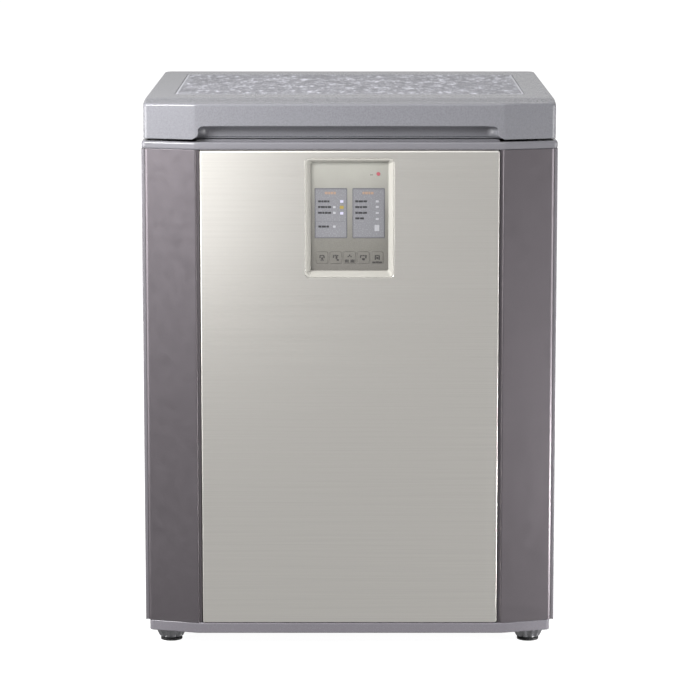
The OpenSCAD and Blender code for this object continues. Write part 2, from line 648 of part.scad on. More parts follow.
module wheel_brackets() {
  color([0.6, 0.61, 0.62]) both() difference() {
    union() {
      box(wheel_x - 16, wheel_x + 16, wheel_y - 20, wheel_y + 20, base_z1 - 2, base_z1);
      for (x = [-15, 13]) {
        box(wheel_x + x, wheel_x + x + 2, wheel_y - 14, wheel_y + 14, wheel_r, base_z1 - 1);
        rod_x(wheel_x + x, wheel_x + x + 2, wheel_y, wheel_r, 9);
      }
    }
    rod_x(wheel_x - 20, wheel_x + 20, wheel_y, wheel_r, 3 + fit);
  }
}
module wheel_axles() {
  color([0.8, 0.8, 0.82]) both() {
    rod_x(wheel_x - 16.4, wheel_x + 16.4, wheel_y, wheel_r, 3);
    rod_x(wheel_x - 18, wheel_x - 15.1, wheel_y, wheel_r, 5);
    rod_x(wheel_x + 15.1, wheel_x + 18, wheel_y, wheel_r, 5);
  }
}
module roller(s) {
  color([0.12, 0.12, 0.13]) translate([s * wheel_x, wheel_y, wheel_r]) rotate([0, 90, 0]) difference() {
    translate([0, 0, -12]) rotate_extrude() polygon([[0, 0], [wheel_r - 6, 0], [wheel_r - 1, 1.5], [wheel_r, 3], [wheel_r, 21], [wheel_r - 1, 22.5], [wheel_r - 6, 24], [0, 24]]);
    translate([0, 0, -14]) cylinder(r = 3 + fit, h = 28);
  }
}
module rear_wheel_left() { roller(-1); }
module rear_wheel_right() { roller(1); }

// ---- lid --------------------------------------------------------------------
// side profile of the lid in Y and Z, d inside its skin: rolled front edge,
// slightly rising shoulder, and a tail that turns about the hinge
function lid_profile(d) = concat(
  [[-hd + d, lid_z0], [-hd + d, zt - 10], [-hd + 2.5 + d, zt - 5.5 - d * 0.4], [-hd + 7 + d, zt - 3.5 - d],
   [-hd + 103, zt - d], [hd - 3 - d, zt - d], [hd - d, zt - 3 - d]],
  [for (a = [0:-10:-50]) [piv_y + (piv_r - d) * cos(a), piv_z + (piv_r - d) * sin(a)]],
  [[piv_y + sqrt(max(0.01, pow(piv_r - d, 2) - 361)), lid_z0]]);
module lid_solid(d) {
  intersection() {
    slab(plan(3 + d, hd - d, 9, 12), lid_z0, zt);
    along_x(lid_profile(d), -hw, hw);
  }
}
module notch(g) { both() box(hinge_x0 - g, hinge_x1 + g, 279 - g, hd + 1, lid_z0 - 5, 860 - 819 + lid_z0 + g); }

module lid_cover() {
  color([0.64, 0.64, 0.66]) difference() {
    union() {
      difference() {
        lid_solid(0);
        intersection() {
          lid_solid(3);
          box(-hw, hw, -hd, hd, lid_z0 - 1, zt - 6);
        }
        box(-hw + 8, hw - 8, -hd + 10, piv_y - 0.5, lid_z0 - 1, lid_z0 + 5);
      }
      intersection() {
        lid_solid(1);
        union() {
          box(-grip_x - 3, grip_x + 3, -hd, -hd + grip_d + 3, lid_z0, grip_z + 3);
          intersection() { notch(2); box(-hw, hw, 0, hd, lid_z0, zt); }
        }
      }
    }
    // finger recess, wider at its lower edge
    upright([[-grip_x - 4, lid_z0 - 1], [grip_x + 4, lid_z0 - 1], [grip_x, lid_z0 + 6], [grip_x, grip_z - 6],
             [grip_x - 2, grip_z - 2], [grip_x - 6, grip_z], [-grip_x + 6, grip_z], [-grip_x + 2, grip_z - 2],
             [-grip_x, grip_z - 6], [-grip_x, lid_z0 + 6]], -hd - 1, -hd + grip_d);
    notch(0);
    both() box(206.7, 221.8, 269, 280, piv_z - 5.3, piv_z + 5.3);
    // seat for the inlay
    slab(rr(-inlay_w / 2, inlay_w / 2, -hd + 140, hd - 80, 3), zt - 3, zt + 1);
  }
}
module lid_top_panel() {
  color([0.66, 0.67, 0.7]) slab(rr(-inlay_w / 2 + 0.2, inlay_w / 2 - 0.2, -hd + 140.2, hd - 80.2, 3), zt - 2.9, zt - 0.1);
}
px = 250; py0 = tub_y0 + 15; py1 = tub_y1 - 14;
module lid_foam() {
  color([0.95, 0.9, 0.72]) difference() {
    union() {
      intersection() {
        lid_solid(3.2);
        box(-hw, hw, -hd, hd, lid_z0 + 6, zt - 6.2);
      }
      slab(rr(-px + 2.1, px - 2.1, py0 + 2.1, py1 - 2.1, 23), plug_z0 + 2.1, lid_z0 + 7);
      slab(rr(-hw + 9, hw - 9, -hd + grip_d + 4, piv_y - 26, 4), lid_z0 + 3, lid_z0 + 7);
    }
    box(-grip_x - 3.3, grip_x + 3.3, -hd, -hd + grip_d + 3.2, lid_z0 - 1, grip_z + 3.2);
    notch(2.2);
    both() {
      box(191.8, 228.2, 247.8, 280, piv_z - 4.2, piv_z + 4.2);
      box(206.8, 221.7, 269, 290, piv_z - 5.2, piv_z + 5.2);
    }
  }
}
module lid_inner_liner() {
  color([0.95, 0.95, 0.94]) difference() {
    union() {
      intersection() {
        slab(rr(-hw + 8.3, hw - 8.3, -hd + grip_d + 3.3, piv_y - 1, 4), lid_z0, lid_z0 + 2.8);
        slab(plan(6.4, hd - 6), lid_z0 - 1, lid_z0 + 4);
      }
      slab(rr(-px, px, py0, py1, 25), plug_z0, lid_z0 + 2.8);
    }
    slab(rr(-px + 2, px - 2, py0 + 2, py1 - 2, 23), plug_z0 + 2, lid_z0 + 4);
    notch(2.2);
  }
}
module lid_gasket() {
  color([0.25, 0.25, 0.26]) difference() {
    slab(rr(-300, 300, -283, 277, 22), rim_z + 0.4, lid_z0);
    slab(rr(-279, 279, -262, 256, 12), rim_z, lid_z0 + 1);
    // bellows groove round the outer face
    difference() {
      slab(rr(-301, 301, -284, 278, 22), rim_z + 2, rim_z + 3.4);
      slab(rr(-296, 296, -279, 273, 18), rim_z + 1, rim_z + 4);
    }
  }
}

side_panel_left();
side_panel_right();
rear_panel();
front_inner_sheet();
front_panel();
panel_backing();
pillar_trim_left();
pillar_trim_right();
top_frame();
base_frame();
base_plate();
foam_body();
inner_liner();
evaporator_coil();
machine_cover();
cord_inlet();
rear_screws();
compressor();
compressor_mounts();
terminal_cover();
condenser_coil();
fan_bracket();
fan_motor();
fan_blade();
filter_drier();
refrigerant_lines();
main_pcb();
pcb_box();
wiring_harness();
control_bezel();
display_plate();
window_left();
window_right();
status_leds();
power_indicator();
display_pcb();
control_box();
button_1();
button_2();
button_3();
button_4();
button_5();
hinge_brackets();
hinge_pins();
hinge_springs();
foot_sockets();
foot_knob_left();
foot_knob_right();
foot_pad_left();
foot_pad_right();
wheel_brackets();
wheel_axles();
rear_wheel_left();
rear_wheel_right();
lid_cover();
lid_top_panel();
lid_foam();
lid_inner_liner();
lid_gasket();
lid_knuckles();
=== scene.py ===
"""Chest refrigerator with one top lid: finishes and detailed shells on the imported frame, in a plain pale studio.

Lengths in the helpers that build meshes are in millimetres, in the frame's own axes (+Z up, front towards -Y)."""

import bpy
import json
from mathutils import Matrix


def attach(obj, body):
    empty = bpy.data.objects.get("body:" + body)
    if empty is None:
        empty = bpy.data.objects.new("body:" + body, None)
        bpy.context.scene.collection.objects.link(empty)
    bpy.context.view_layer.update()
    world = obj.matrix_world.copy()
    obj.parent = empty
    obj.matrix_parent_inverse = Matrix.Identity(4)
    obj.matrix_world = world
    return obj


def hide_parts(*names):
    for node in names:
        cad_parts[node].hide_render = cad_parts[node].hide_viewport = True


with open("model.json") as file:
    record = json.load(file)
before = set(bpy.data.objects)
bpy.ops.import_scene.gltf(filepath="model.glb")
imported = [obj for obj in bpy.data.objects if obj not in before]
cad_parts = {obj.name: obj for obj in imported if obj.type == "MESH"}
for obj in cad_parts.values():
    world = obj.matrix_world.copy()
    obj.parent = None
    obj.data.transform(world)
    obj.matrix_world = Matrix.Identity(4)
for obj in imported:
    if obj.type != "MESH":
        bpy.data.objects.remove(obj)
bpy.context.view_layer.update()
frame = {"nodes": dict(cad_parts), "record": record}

import json
import math

import bmesh
import bpy
import numpy as np
from mathutils import Matrix, Vector

scene = bpy.context.scene
sin, cos, hypot, radians, pi = math.sin, math.cos, math.hypot, math.radians, math.pi

# ---------------------------------------------------------------- camera ----
cam = bpy.data.cameras.new("camera")
cam.sensor_width = 36
cam.lens = 3248.1 / 700 * 36
cam_obj = bpy.data.objects.new("camera", cam)
cam_obj.location = (0.0006, -5.431, 1.299)
cam_obj.rotation_euler = (radians(90 - 9.07), 0, 0)
cam.clip_end = 200
scene.collection.objects.link(cam_obj)
scene.camera = cam_obj
scene.view_settings.view_transform = "Standard"


# ------------------------------------------------------------- materials ----
def lin(*c):
    """Linear colour of an 0-255 display colour."""
    c = c * 3 if len(c) == 1 else c
    return tuple((v / 255 / 12.92 if v <= 10 else ((v / 255 + 0.055) / 1.055) ** 2.4) for v in c)


class Look:
    """One procedural material. Textures use the object's own coordinates, in metres."""

    def __init__(self, name, **sockets):
        self.m = bpy.data.materials.new(name)
        self.m.use_nodes = True
        self.nt = self.m.node_tree
        self.bsdf = next(n for n in self.nt.nodes if n.type == "BSDF_PRINCIPLED")
        for k, v in sockets.items():
            self.bsdf.inputs[k.replace("_", " ")].default_value = v
        self.co = self.node("ShaderNodeTexCoord").outputs["Object"]

    def node(self, kind, **props):
        n = self.nt.nodes.new(kind)
        for k, v in props.items():
            setattr(n, k, v)
        return n

    def put(self, value, socket):
        if isinstance(value, bpy.types.NodeSocket):
            self.nt.links.new(value, socket)
        else:
            socket.default_value = value

    def mapped(self, stretch=(1, 1, 1), turn=(0, 0, 0)):
        n = self.node("ShaderNodeMapping")
        self.put(self.co, n.inputs["Vector"])
        n.inputs["Scale"].default_value = stretch
        n.inputs["Rotation"].default_value = turn
        return n.outputs["Vector"]

    def noise(self, scale, detail=3.0, rough=0.5, stretch=(1, 1, 1), bend=0.0):
        n = self.node("ShaderNodeTexNoise")
        self.put(self.mapped(stretch), n.inputs["Vector"])
        for k, v in (("Scale", scale), ("Detail", detail), ("Roughness", rough), ("Distortion", bend)):
            n.inputs[k].default_value = v
        return n.outputs["Fac"]

    def cells(self, scale, stretch=(1, 1, 1), feature="F1", out="Distance"):
        n = self.node("ShaderNodeTexVoronoi", feature=feature)
        self.put(self.mapped(stretch), n.inputs["Vector"])
        n.inputs["Scale"].default_value = scale
        return n.outputs[out]

    def span(self, v, lo, hi, a=0.3, b=0.7, smooth=False):
        n = self.node("ShaderNodeMapRange", clamp=True)
        if smooth:
            n.interpolation_type = "SMOOTHSTEP"
        self.put(v, n.inputs["Value"])
        for k, x in (("From Min", a), ("From Max", b), ("To Min", lo), ("To Max", hi)):
            n.inputs[k].default_value = x
        return n.outputs["Result"]

    def calc(self, op, a, b=0.5):
        n = self.node("ShaderNodeMath", operation=op)
        self.put(a, n.inputs[0])
        self.put(b, n.inputs[1])
        return n.outputs[0]

    def ramp(self, v, *stops):
        n = self.node("ShaderNodeValToRGB")
        e = n.color_ramp.elements
        while len(e) < len(stops):
            e.new(0.5)
        for el, (p, c) in zip(e, stops):
            el.position, el.color = p, (*c, 1)
        self.put(v, n.inputs["Fac"])
        return n.outputs["Color"]

    def mix(self, f, a, b, mode="MIX"):
        n = self.node("ShaderNodeMix", data_type="RGBA", blend_type=mode)
        self.put(f, n.inputs[0])
        self.put(a if isinstance(a, bpy.types.NodeSocket) else (*a, 1), n.inputs[6])
        self.put(b if isinstance(b, bpy.types.NodeSocket) else (*b, 1), n.inputs[7])
        return n.outputs[2]

    def colour(self, c):
        self.put(c, self.bsdf.inputs["Base Color"])
        return self

    def rough(self, v):
        self.put(v, self.bsdf.inputs["Roughness"])
        return self

    def bump(self, height, strength, distance):
        n = self.node("ShaderNodeBump")
        n.inputs["Strength"].default_value = strength
        n.inputs["Distance"].default_value = distance
        self.put(height, n.inputs["Height"])
        old = self.bsdf.inputs["Normal"].links
        if old:
            self.put(old[0].from_socket, n.inputs["Normal"])
        self.put(n.outputs["Normal"], self.bsdf.inputs["Normal"])
        return self


def shade_of(c, k):
    return tuple(min(1.0, v * k) for v in c)


def plastic(name, base, rough=0.4, vary=0.05, grain=1300, depth=0.00004, mottle=0.35, wave=0.06, **sockets):
    """Moulded plastic: faint flow marks in the colour and a fine spark-eroded grain."""
    m = Look(name, **sockets)
    flow = m.noise(7, 4, 0.55, bend=0.4)
    fine = m.noise(grain, 3, 0.6)
    m.colour(m.mix(m.span(fine, 0.0, mottle), m.ramp(flow, (0.3, shade_of(base, 1 - vary)), (0.7, shade_of(base, 1 + vary))), shade_of(base, 0.88)))
    m.rough(m.span(m.noise(grain * 0.35, 3, 0.5), rough - 0.05, rough + 0.06))
    m.bump(fine, 0.35, depth)
    m.bump(m.noise(28, 2, 0.4), wave, 0.0006)
    return m.m


def paint(name, base, rough=0.35, vary=0.06, flake=0.0, metallic=0.0, peel=260, **sockets):
    """Sprayed or powder-coated metal: orange peel, and metal flakes where flake is over 0."""
    m = Look(name, Metallic=metallic, **sockets)
    cloud = m.noise(5, 3, 0.5)
    c = m.ramp(cloud, (0.3, shade_of(base, 1 - vary)), (0.7, shade_of(base, 1 + vary)))
    if flake:
        c = m.mix(m.span(m.cells(2300, out="Color"), 0.0, flake, 0.35, 0.95), c, shade_of(base, 1.9))
    m.colour(c)
    m.rough(m.span(m.noise(60, 4, 0.6), rough - 0.04, rough + 0.05))
    m.bump(m.noise(peel, 2, 0.45), 0.12, 0.00025)
    return m.m


def brushed(name, base, rough=0.34, vary=0.05, along=(4, 500, 1000), depth=0.00006, **sockets):
    """Brushed metal. The lines run along X where along's first number is the small one."""
    m = Look(name, Metallic=1.0, **sockets)
    fine = m.noise(1, 5, 0.62, stretch=along)
    wide = m.noise(1, 3, 0.5, stretch=tuple(a * 0.28 if a > 50 else a * 0.45 for a in along))
    both = m.calc("ADD", m.calc("MULTIPLY", fine, 0.8), m.calc("MULTIPLY", wide, 0.2))
    m.colour(m.ramp(both, (0.32, shade_of(base, 1 - vary * 1.5)), (0.5, base), (0.68, shade_of(base, 1 + vary))))
    m.rough(m.span(both, rough + 0.04, rough - 0.035, 0.35, 0.65))
    m.bump(fine, 0.2, depth)
    return m.m


def metal(name, base, rough=0.3, vary=0.08, scale=40, **sockets):
    m = Look(name, Metallic=1.0, **sockets)
    n = m.noise(scale, 5, 0.6, bend=0.3)
    m.colour(m.ramp(n, (0.3, shade_of(base, 1 - vary)), (0.7, shade_of(base, 1 + vary))))
    m.rough(m.span(m.noise(scale * 3, 3, 0.6), rough - 0.06, rough + 0.09))
    m.bump(m.noise(scale * 12, 2, 0.5), 0.12, 0.0001)
    return m.m


def galvanised(name, base):
    m = Look(name, Metallic=0.8)
    sp = m.cells(190, stretch=(1, 1, 0.7), out="Color")
    v = m.node("ShaderNodeRGBToBW")
    m.put(sp, v.inputs[0])
    t = m.calc("ADD", m.calc("MULTIPLY", v.outputs[0], 0.6), m.calc("MULTIPLY", m.noise(35, 3, 0.5), 0.4))
    m.colour(m.ramp(t, (0.25, shade_of(base, 0.93)), (0.75, shade_of(base, 1.05))))
    m.rough(m.span(t, 0.42, 0.52, 0.25, 0.75))
    m.bump(m.noise(300, 3, 0.5), 0.12, 0.00008)
    return m.m


def foam(name, base, cell=240):
    m = Look(name)
    c = m.cells(cell)
    m.colour(m.ramp(m.noise(9, 4, 0.6, bend=0.5), (0.3, shade_of(base, 0.84)), (0.7, shade_of(base, 1.06))))
    m.rough(m.span(c, 0.75, 0.95))
    m.bump(c, 0.5, 0.0008)
    m.bump(m.noise(20, 4, 0.6), 0.3, 0.003)
    return m.m


def rubber(name, base, rough=0.6):
    m = Look(name, Specular_IOR_Level=0.4)
    m.colour(m.ramp(m.noise(30, 4, 0.6), (0.3, shade_of(base, 0.75)), (0.7, shade_of(base, 1.3))))
    m.rough(m.span(m.noise(500, 3), rough - 0.08, rough + 0.1))
    m.bump(m.noise(900, 2), 0.3, 0.00008)
    return m.m


def granite(name):
    """Pearled, speckled inlay of the lid: soft blotches, pale and dark chips, and a fine grain."""
    m = Look(name, Specular_IOR_Level=0.3)
    blot = m.noise(95, 4, 0.62, stretch=(1.0, 0.34, 1.0), bend=0.5)
    c = m.ramp(blot, (0.30, lin(98, 98, 104)), (0.45, lin(128, 128, 133)), (0.55, lin(149, 149, 156)), (0.66, lin(208, 208, 216)))
    chips = m.cells(260, stretch=(1, 0.28, 1))
    c = m.mix(m.span(chips, 0.34, 0.0, 0.12, 0.34), c, lin(225, 225, 233))
    dark = m.cells(230, stretch=(0.8, 0.24, 1.3))
    c = m.mix(m.span(dark, 0.5, 0.0, 0.10, 0.30), c, lin(75, 75, 81))
    c = m.mix(m.span(m.noise(900, 3, 0.6), 0.0, 0.2), c, lin(119, 119, 125))
    m.colour(c)
    m.rough(m.span(blot, 0.45, 0.62))
    m.bump(blot, 0.35, 0.0007)
    m.bump(m.noise(700, 3, 0.6), 0.3, 0.00012)
    return m.m


def painted_shade_fade(name, low, high, rough=0.4):
    """Metallic finish whose colour fades from dark at the height low to pale at high, in metres: painted reflection and
    shade, darker towards the bottom.
    """
    m = Look(name, Metallic=0.3)
    sep = m.node("ShaderNodeSeparateXYZ")
    m.put(m.co, sep.inputs[0])
    # colour ramp by height: painted reflection and shade, pale at the top and dark at the bottom
    t = m.calc("ADD", m.span(sep.outputs["Z"], 0.0, 1.0, low, high), m.span(m.noise(40, 3), -0.03, 0.03))
    c = m.ramp(t, (0.0, lin(106, 103, 99)), (0.25, lin(115, 113, 107)), (0.55, lin(132, 130, 125)), (0.85, lin(159, 158, 151)), (1.0, lin(166, 165, 158)))
    m.colour(m.mix(m.span(m.noise(1400, 3, 0.6), 0.0, 0.22), c, lin(174, 172, 166)))
    m.rough(m.span(m.noise(120, 3), rough - 0.04, rough + 0.05))
    m.bump(m.noise(700, 2, 0.5), 0.15, 0.00005)
    return m.m


def board(name):
    m = Look(name)
    cells = m.cells(420, stretch=(1, 1, 0.6), feature="DISTANCE_TO_EDGE")
    m.colour(m.ramp(cells, (0.02, (0.015, 0.11, 0.04)), (0.09, (0.03, 0.2, 0.08))))
    m.rough(m.span(m.noise(200, 2), 0.3, 0.45))
    m.bump(m.span(cells, 0, 1, 0.02, 0.09), 0.3, 0.00005)
    return m.m


def glow(name, base, light, strength, rough=0.3):
    """A small lamp lens: an even emission, with noise in its colour."""
    m = Look(name, Emission_Color=(*light, 1), Emission_Strength=strength)
    m.colour(m.ramp(m.noise(900, 3), (0.3, shade_of(base, 0.85)), (0.7, base)))
    m.rough(m.span(m.noise(700, 2), rough - 0.05, rough + 0.1))
    m.bump(m.noise(1500, 2), 0.2, 0.00004)
    return m.m


MAT = {
    "panel": brushed("brushed_steel", lin(236, 233, 227), rough=0.36, vary=0.045, Anisotropic=0.0),
    "pillar": paint("pillar_metallic", lin(101, 96, 100), rough=0.38, vary=0.03, flake=0.08, metallic=0.75),
    "side": paint("side_paint", lin(124, 121, 126), rough=0.42, flake=0.06, metallic=0.45),
    "lid": plastic("lid_grey", lin(115, 115, 120), rough=0.27, vary=0.02, grain=2400, depth=0.000012, mottle=0.14, wave=0.02),
    "collar": plastic("collar_grey", lin(112, 111, 116), rough=0.22, vary=0.02, grain=2400, depth=0.000012, mottle=0.14, wave=0.02),
    "base": plastic("base_grey", lin(118, 115, 121), rough=0.24, vary=0.02, grain=2400, depth=0.000012, mottle=0.14, wave=0.02),
    "inlay": granite("granite_inlay"),
    # pale rim colour: partly a painted highlight on the rim's chamfer
    "inlay_rim": plastic("inlay_rim", lin(176, 176, 184), rough=0.34),
    "galv": galvanised("galvanised", lin(176, 178, 180)),
    "foam": foam("polyurethane", lin(226, 205, 150)),
    "eps": foam("packing_foam", lin(236, 236, 232), cell=330),
    "tub": brushed("tub_aluminium", lin(214, 215, 217), rough=0.38, along=(10, 600, 600)),
    "copper": metal("copper", lin(196, 120, 84), rough=0.25, vary=0.2, scale=60),
    "enamel": paint("black_enamel", lin(26, 26, 27), rough=0.2, Coat_Weight=0.6, Coat_Roughness=0.08),
    "rubber": rubber("black_rubber", lin(34, 34, 35)),
    "black": plastic("black_plastic", lin(38, 38, 40), rough=0.42),
    "gloss_black": plastic("gloss_black", lin(86, 86, 90), rough=0.3, depth=0.00001, Specular_IOR_Level=0.7, Coat_Weight=1.0, Coat_Roughness=0.18, Coat_IOR=1.7),
    "white": plastic("white_plastic", lin(200, 200, 196), rough=0.4, mottle=0.2),
    "board": board("circuit_board"),
    "bezel": paint("bezel_satin", lin(161, 159, 153), rough=0.62, vary=0.03, metallic=0.1, Specular_IOR_Level=0.25),
    # the fade by height on the key plate and the keys is painted reflection and shade
    "plate": painted_shade_fade("key_plate", 0.608, 0.788, rough=0.42),
    "key": painted_shade_fade("key_caps", 0.608, 0.788, rough=0.38),
    "window": plastic("display_window", lin(121, 121, 125), rough=0.25, depth=0.00001, Coat_Weight=0.5, Coat_Roughness=0.08),
    "guide": plastic("light_guide", lin(235, 235, 226), rough=0.25),
    "red": glow("red_lens", lin(164, 82, 92), (1.0, 0.34, 0.40), 0.06, 0.35),
    "led_white": glow("led_white", lin(172, 169, 192), (0.85, 0.83, 1.0), 0.13),
    "led_gold": glow("led_gold", lin(146, 128, 62), (1.0, 0.78, 0.22), 0.03),
    # unlit lenses: their faint emission is a painted glow, with no lamp behind them
    "led_off_painted_glow": glow("led_off_painted_glow", lin(158, 158, 162), (0.9, 0.9, 0.95), 0.04),
    "ink": plastic("dark_ink", lin(44, 43, 46), rough=0.45, depth=0.00001),
    "ink_soft": plastic("soft_ink", lin(52, 50, 49), rough=0.5, depth=0.00001),
    "ink_amber": plastic("amber_ink", lin(146, 124, 108), rough=0.45, depth=0.00001),
    "frame_ink": plastic("frame_ink", lin(96, 96, 100), rough=0.4, depth=0.00001),
    "steel": metal("bright_steel", lin(205, 205, 206), rough=0.22, scale=120),
    "seal": rubber("grey_seal", lin(66, 66, 68), 0.5),
}


# ---------------------------------------------------------- mesh helpers ----
def shade(me, angle=35):
    me.polygons.foreach_set("use_smooth", [True] * len(me.polygons))
    me.set_sharp_from_angle(angle=radians(angle))


def place(name, me, mat, body, replaces=(), angle=35, weighted=True):
    """Puts a mesh in the scene as a piece that rides on a body."""
    me.materials.clear()
    me.materials.append(MAT[mat])
    shade(me, angle)
    o = bpy.data.objects.new(name, me)
    scene.collection.objects.link(o)
    if weighted:
        w = o.modifiers.new("normals", "WEIGHTED_NORMAL")
        w.keep_sharp = True
        w.weight = 80
    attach(o, body)
    if replaces:
        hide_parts(*replaces)
    return o


def mesh(name, verts, faces, weld=1e-7):
    """Closed mesh from millimetre points."""
    me = bpy.data.meshes.new(name)
    me.from_pydata([tuple(float(c) * 0.001 for c in v) for v in verts], [], faces)
    bm = bmesh.new()
    bm.from_mesh(me)
    bmesh.ops.remove_doubles(bm, verts=bm.verts, dist=weld)
    bmesh.ops.recalc_face_normals(bm, faces=bm.faces)
    bm.to_mesh(me)
    bm.free()
    return me


def loft(name, rings, caps=(False, False), closed=False, weld=1e-7):
    """Mesh through rings that all have the same number of points."""
    n, m = len(rings[0]), len(rings)
    verts = [p for r in rings for p in r]
    faces = []
    for i in range(m if closed else m - 1):
        a, b = i * n, ((i + 1) % m) * n
        faces += [(a + j, a + (j + 1) % n, b + (j + 1) % n, b + j) for j in range(n)]
    if caps[0]:
        faces.append(tuple(range(n - 1, -1, -1)))
    if caps[1]:
        faces.append(tuple(range((m - 1) * n, m * n)))
    return mesh(name, verts, faces, weld)


def fillet(p0, p1, p2, r, n):
    """n + 1 points that round the corner p1."""
    a = np.subtract(p0, p1) / np.linalg.norm(np.subtract(p0, p1))
    b = np.subtract(p2, p1) / np.linalg.norm(np.subtract(p2, p1))
    h = math.acos(float(np.clip(a @ b, -1, 1))) / 2
    if r <= 0:
        return [tuple(p1)] * (n + 1)
    c = np.array(p1) + (a + b) / np.linalg.norm(a + b) * r / sin(h)
    s, e = np.array(p1) + a * r / math.tan(h), np.array(p1) + b * r / math.tan(h)
    a0, a1 = math.atan2(*(s - c)[::-1]), math.atan2(*(e - c)[::-1])
    da = (a1 - a0 + pi) % (2 * pi) - pi
    return [(c[0] + r * cos(a0 + da * i / n), c[1] + r * sin(a0 + da * i / n)) for i in range(n + 1)]


def outline(points, radii, n=6):
    """Closed outline with each corner rounded, always with n + 1 points a corner."""
    k = len(points)
    return [q for i in range(k) for q in fillet(points[i - 1], points[i], points[(i + 1) % k], radii[i], n)]


def rect(x0, x1, y0, y1, r, n=6):
    return outline([(x0, y0), (x1, y0), (x1, y1), (x0, y1)], [r] * 4, n)


def in_plan(points, z):
    return [(x, y, z) for x, y in points]


def in_front(points, y):
    return [(x, y, z) for x, z in points]


def bevelled(bm, pick, width, segments, clamp=True):
    """Rounds the edges that pick(edge) takes."""
    edges = [e for e in bm.edges if e.is_manifold and pick(e)]
    if edges:
        bmesh.ops.bevel(bm, geom=edges, offset=width * 0.001, offset_type="OFFSET", segments=segments, profile=0.5, affect="EDGES", clamp_overlap=clamp)


def sharp(angle=28):
    t = radians(angle)
    return lambda e: e.calc_face_angle(0) > t


def cad_copy(node, limit=0.4):
    """bmesh of a CAD node, welded, with its flat faces merged."""
    bm = bmesh.new()
    bm.from_mesh(frame["nodes"][node].data)
    bmesh.ops.remove_doubles(bm, verts=bm.verts, dist=2e-6)
    bmesh.ops.dissolve_degenerate(bm, dist=1e-6, edges=bm.edges)
    bmesh.ops.dissolve_limit(bm, angle_limit=radians(limit), verts=bm.verts, edges=bm.edges)
    return bm


def rounded(node, mat, body, width=0.5, segments=2, first=(), angle=35, name=None):
    """The CAD node's own shape with its edges broken; first lists (pick, width, segments) for the larger roundings."""
    bm = cad_copy(node)
    for pick, w, s in first:
        bevelled(bm, pick, w, s, clamp=False)
    if width:
        bevelled(bm, sharp(), width, segments)
    bmesh.ops.recalc_face_normals(bm, faces=bm.faces)
    me = bpy.data.meshes.new(name or node + "_shell")
    bm.to_mesh(me)
    bm.free()
    return place(name or node + "_shell", me, mat, body, (node,), angle)


def at(e, axis, value, tol=0.05):
    """Both ends of an edge lie at this coordinate, in millimetres."""
    return all(abs(v.co[axis] * 1000 - value) < tol for v in e.verts)


class Marks:
    """A group of thin raised marks that share one material."""

    def __init__(self):
        self.v, self.f = [], []

    def pad(self, x0, x1, z0, z1, y, t=0.12, r=0.25):
        """Thin pad with rounded corners, its back at y, standing t towards the front."""
        r = min(r, (x1 - x0) / 2.01, (z1 - z0) / 2.01)
        low = rect(x0, x1, z0, z1, r, 3)
        high = rect(x0 + 0.04, x1 - 0.04, z0 + 0.04, z1 - 0.04, max(0.02, r - 0.04), 3)
        k, n = len(self.v), len(low)
        self.v += in_front(low, y) + in_front(low, y - t * 0.7) + in_front(high, y - t)
        for i in (0, 1):
            a, b = k + i * n, k + (i + 1) * n
            self.f += [(a + j, a + (j + 1) % n, b + (j + 1) % n, b + j) for j in range(n)]
        self.f += [tuple(range(k + n - 1, k - 1, -1)), tuple(range(k + 2 * n, k + 3 * n))]

    def done(self, name, mat, body, slot):
        return place(name, mesh(name, self.v, self.f, 1e-8), mat, body, (), 40, False)


# ------------------------------------------------------------- lid cover ----
KC = 25 / 85  # slope of the cants in plan
LC = hypot(1, KC)
TC = math.atan(KC)


def front_y(x, d, r=20.0):
    """The front line of the cabinet in plan, d inside it, with its folds rounded."""
    x = abs(x)
    xf, y0 = 245 - d * (LC - 1) / KC, -325 + d
    cx = xf - r * math.tan(TC / 2)
    if x <= cx:
        return y0
    if x <= cx + r * sin(TC):
        return y0 + r - math.sqrt(r * r - (x - cx) ** 2)
    return y0 + (x - xf) * KC


WL, WR = 240.0, 235.5  # half-widths of the finger recess, left and right
GRIP = 22.0  # its depth
LIP = 1.5


def recess_w(x, z):
    w = WL if x < 0 else WR
    if z < 828:
        w += 10.5 * ((828 - z) / 9) ** 2
    if z > 833:
        w -= 7 - math.sqrt(max(0.0, 49 - (min(z, 840) - 833) ** 2))
    return w


def recess_depth(x, z):
    """How far the lid's front stands back at x and z: a lip, a ceiling, a cove and scooped ends."""
    t = recess_w(x, z) - abs(x)
    if t <= 0 or z >= 841.5:
        return 0.0
    if t < LIP:
        side = LIP - math.sqrt(LIP**2 - t**2)
    else:
        r = GRIP - LIP
        side = LIP + math.sqrt(max(0.0, r * r - max(0.0, r - (t - LIP)) ** 2))
    if z >= 840:
        top = LIP - math.sqrt(max(0.0, LIP**2 - (841.5 - z) ** 2))
    elif z >= 831:
        top = 13 + math.sqrt(81 - (z - 831) ** 2)
    else:
        top = GRIP
    d = GRIP * max(0.0, 1 - hypot(1 - top / GRIP, 1 - side / GRIP))
    if z < 822.6:
        d += 2.2 * min(1.0, (822.6 - z) / 0.8) * d / GRIP
    return d


INS = [0.0, 0.25, 0.6, 1.05, 1.5] + [LIP + 20.5 * (1 - cos(radians(a))) for a in (8, 16, 24, 33, 42, 52, 62, 73, 84)] + [26.0]
OUTS = [1.0, 0.8, 0.62, 0.54, 0.48, 0.43, 0.38, 0.33, 0.22, 0.12, 0.05]
MIDS = [200.0, 150.0, 75.0, 0.0, -75.0, -150.0, -200.0]
SIDE_T = [0.0, 0.02, 0.04, 0.06, 0.08, 0.1, 0.13, 0.2, 0.35, 0.5, 0.65, 0.8, 0.93, 1.0]
REAR_X = [260, 230, 190, 95, 0, -95, -190, -230, -260]


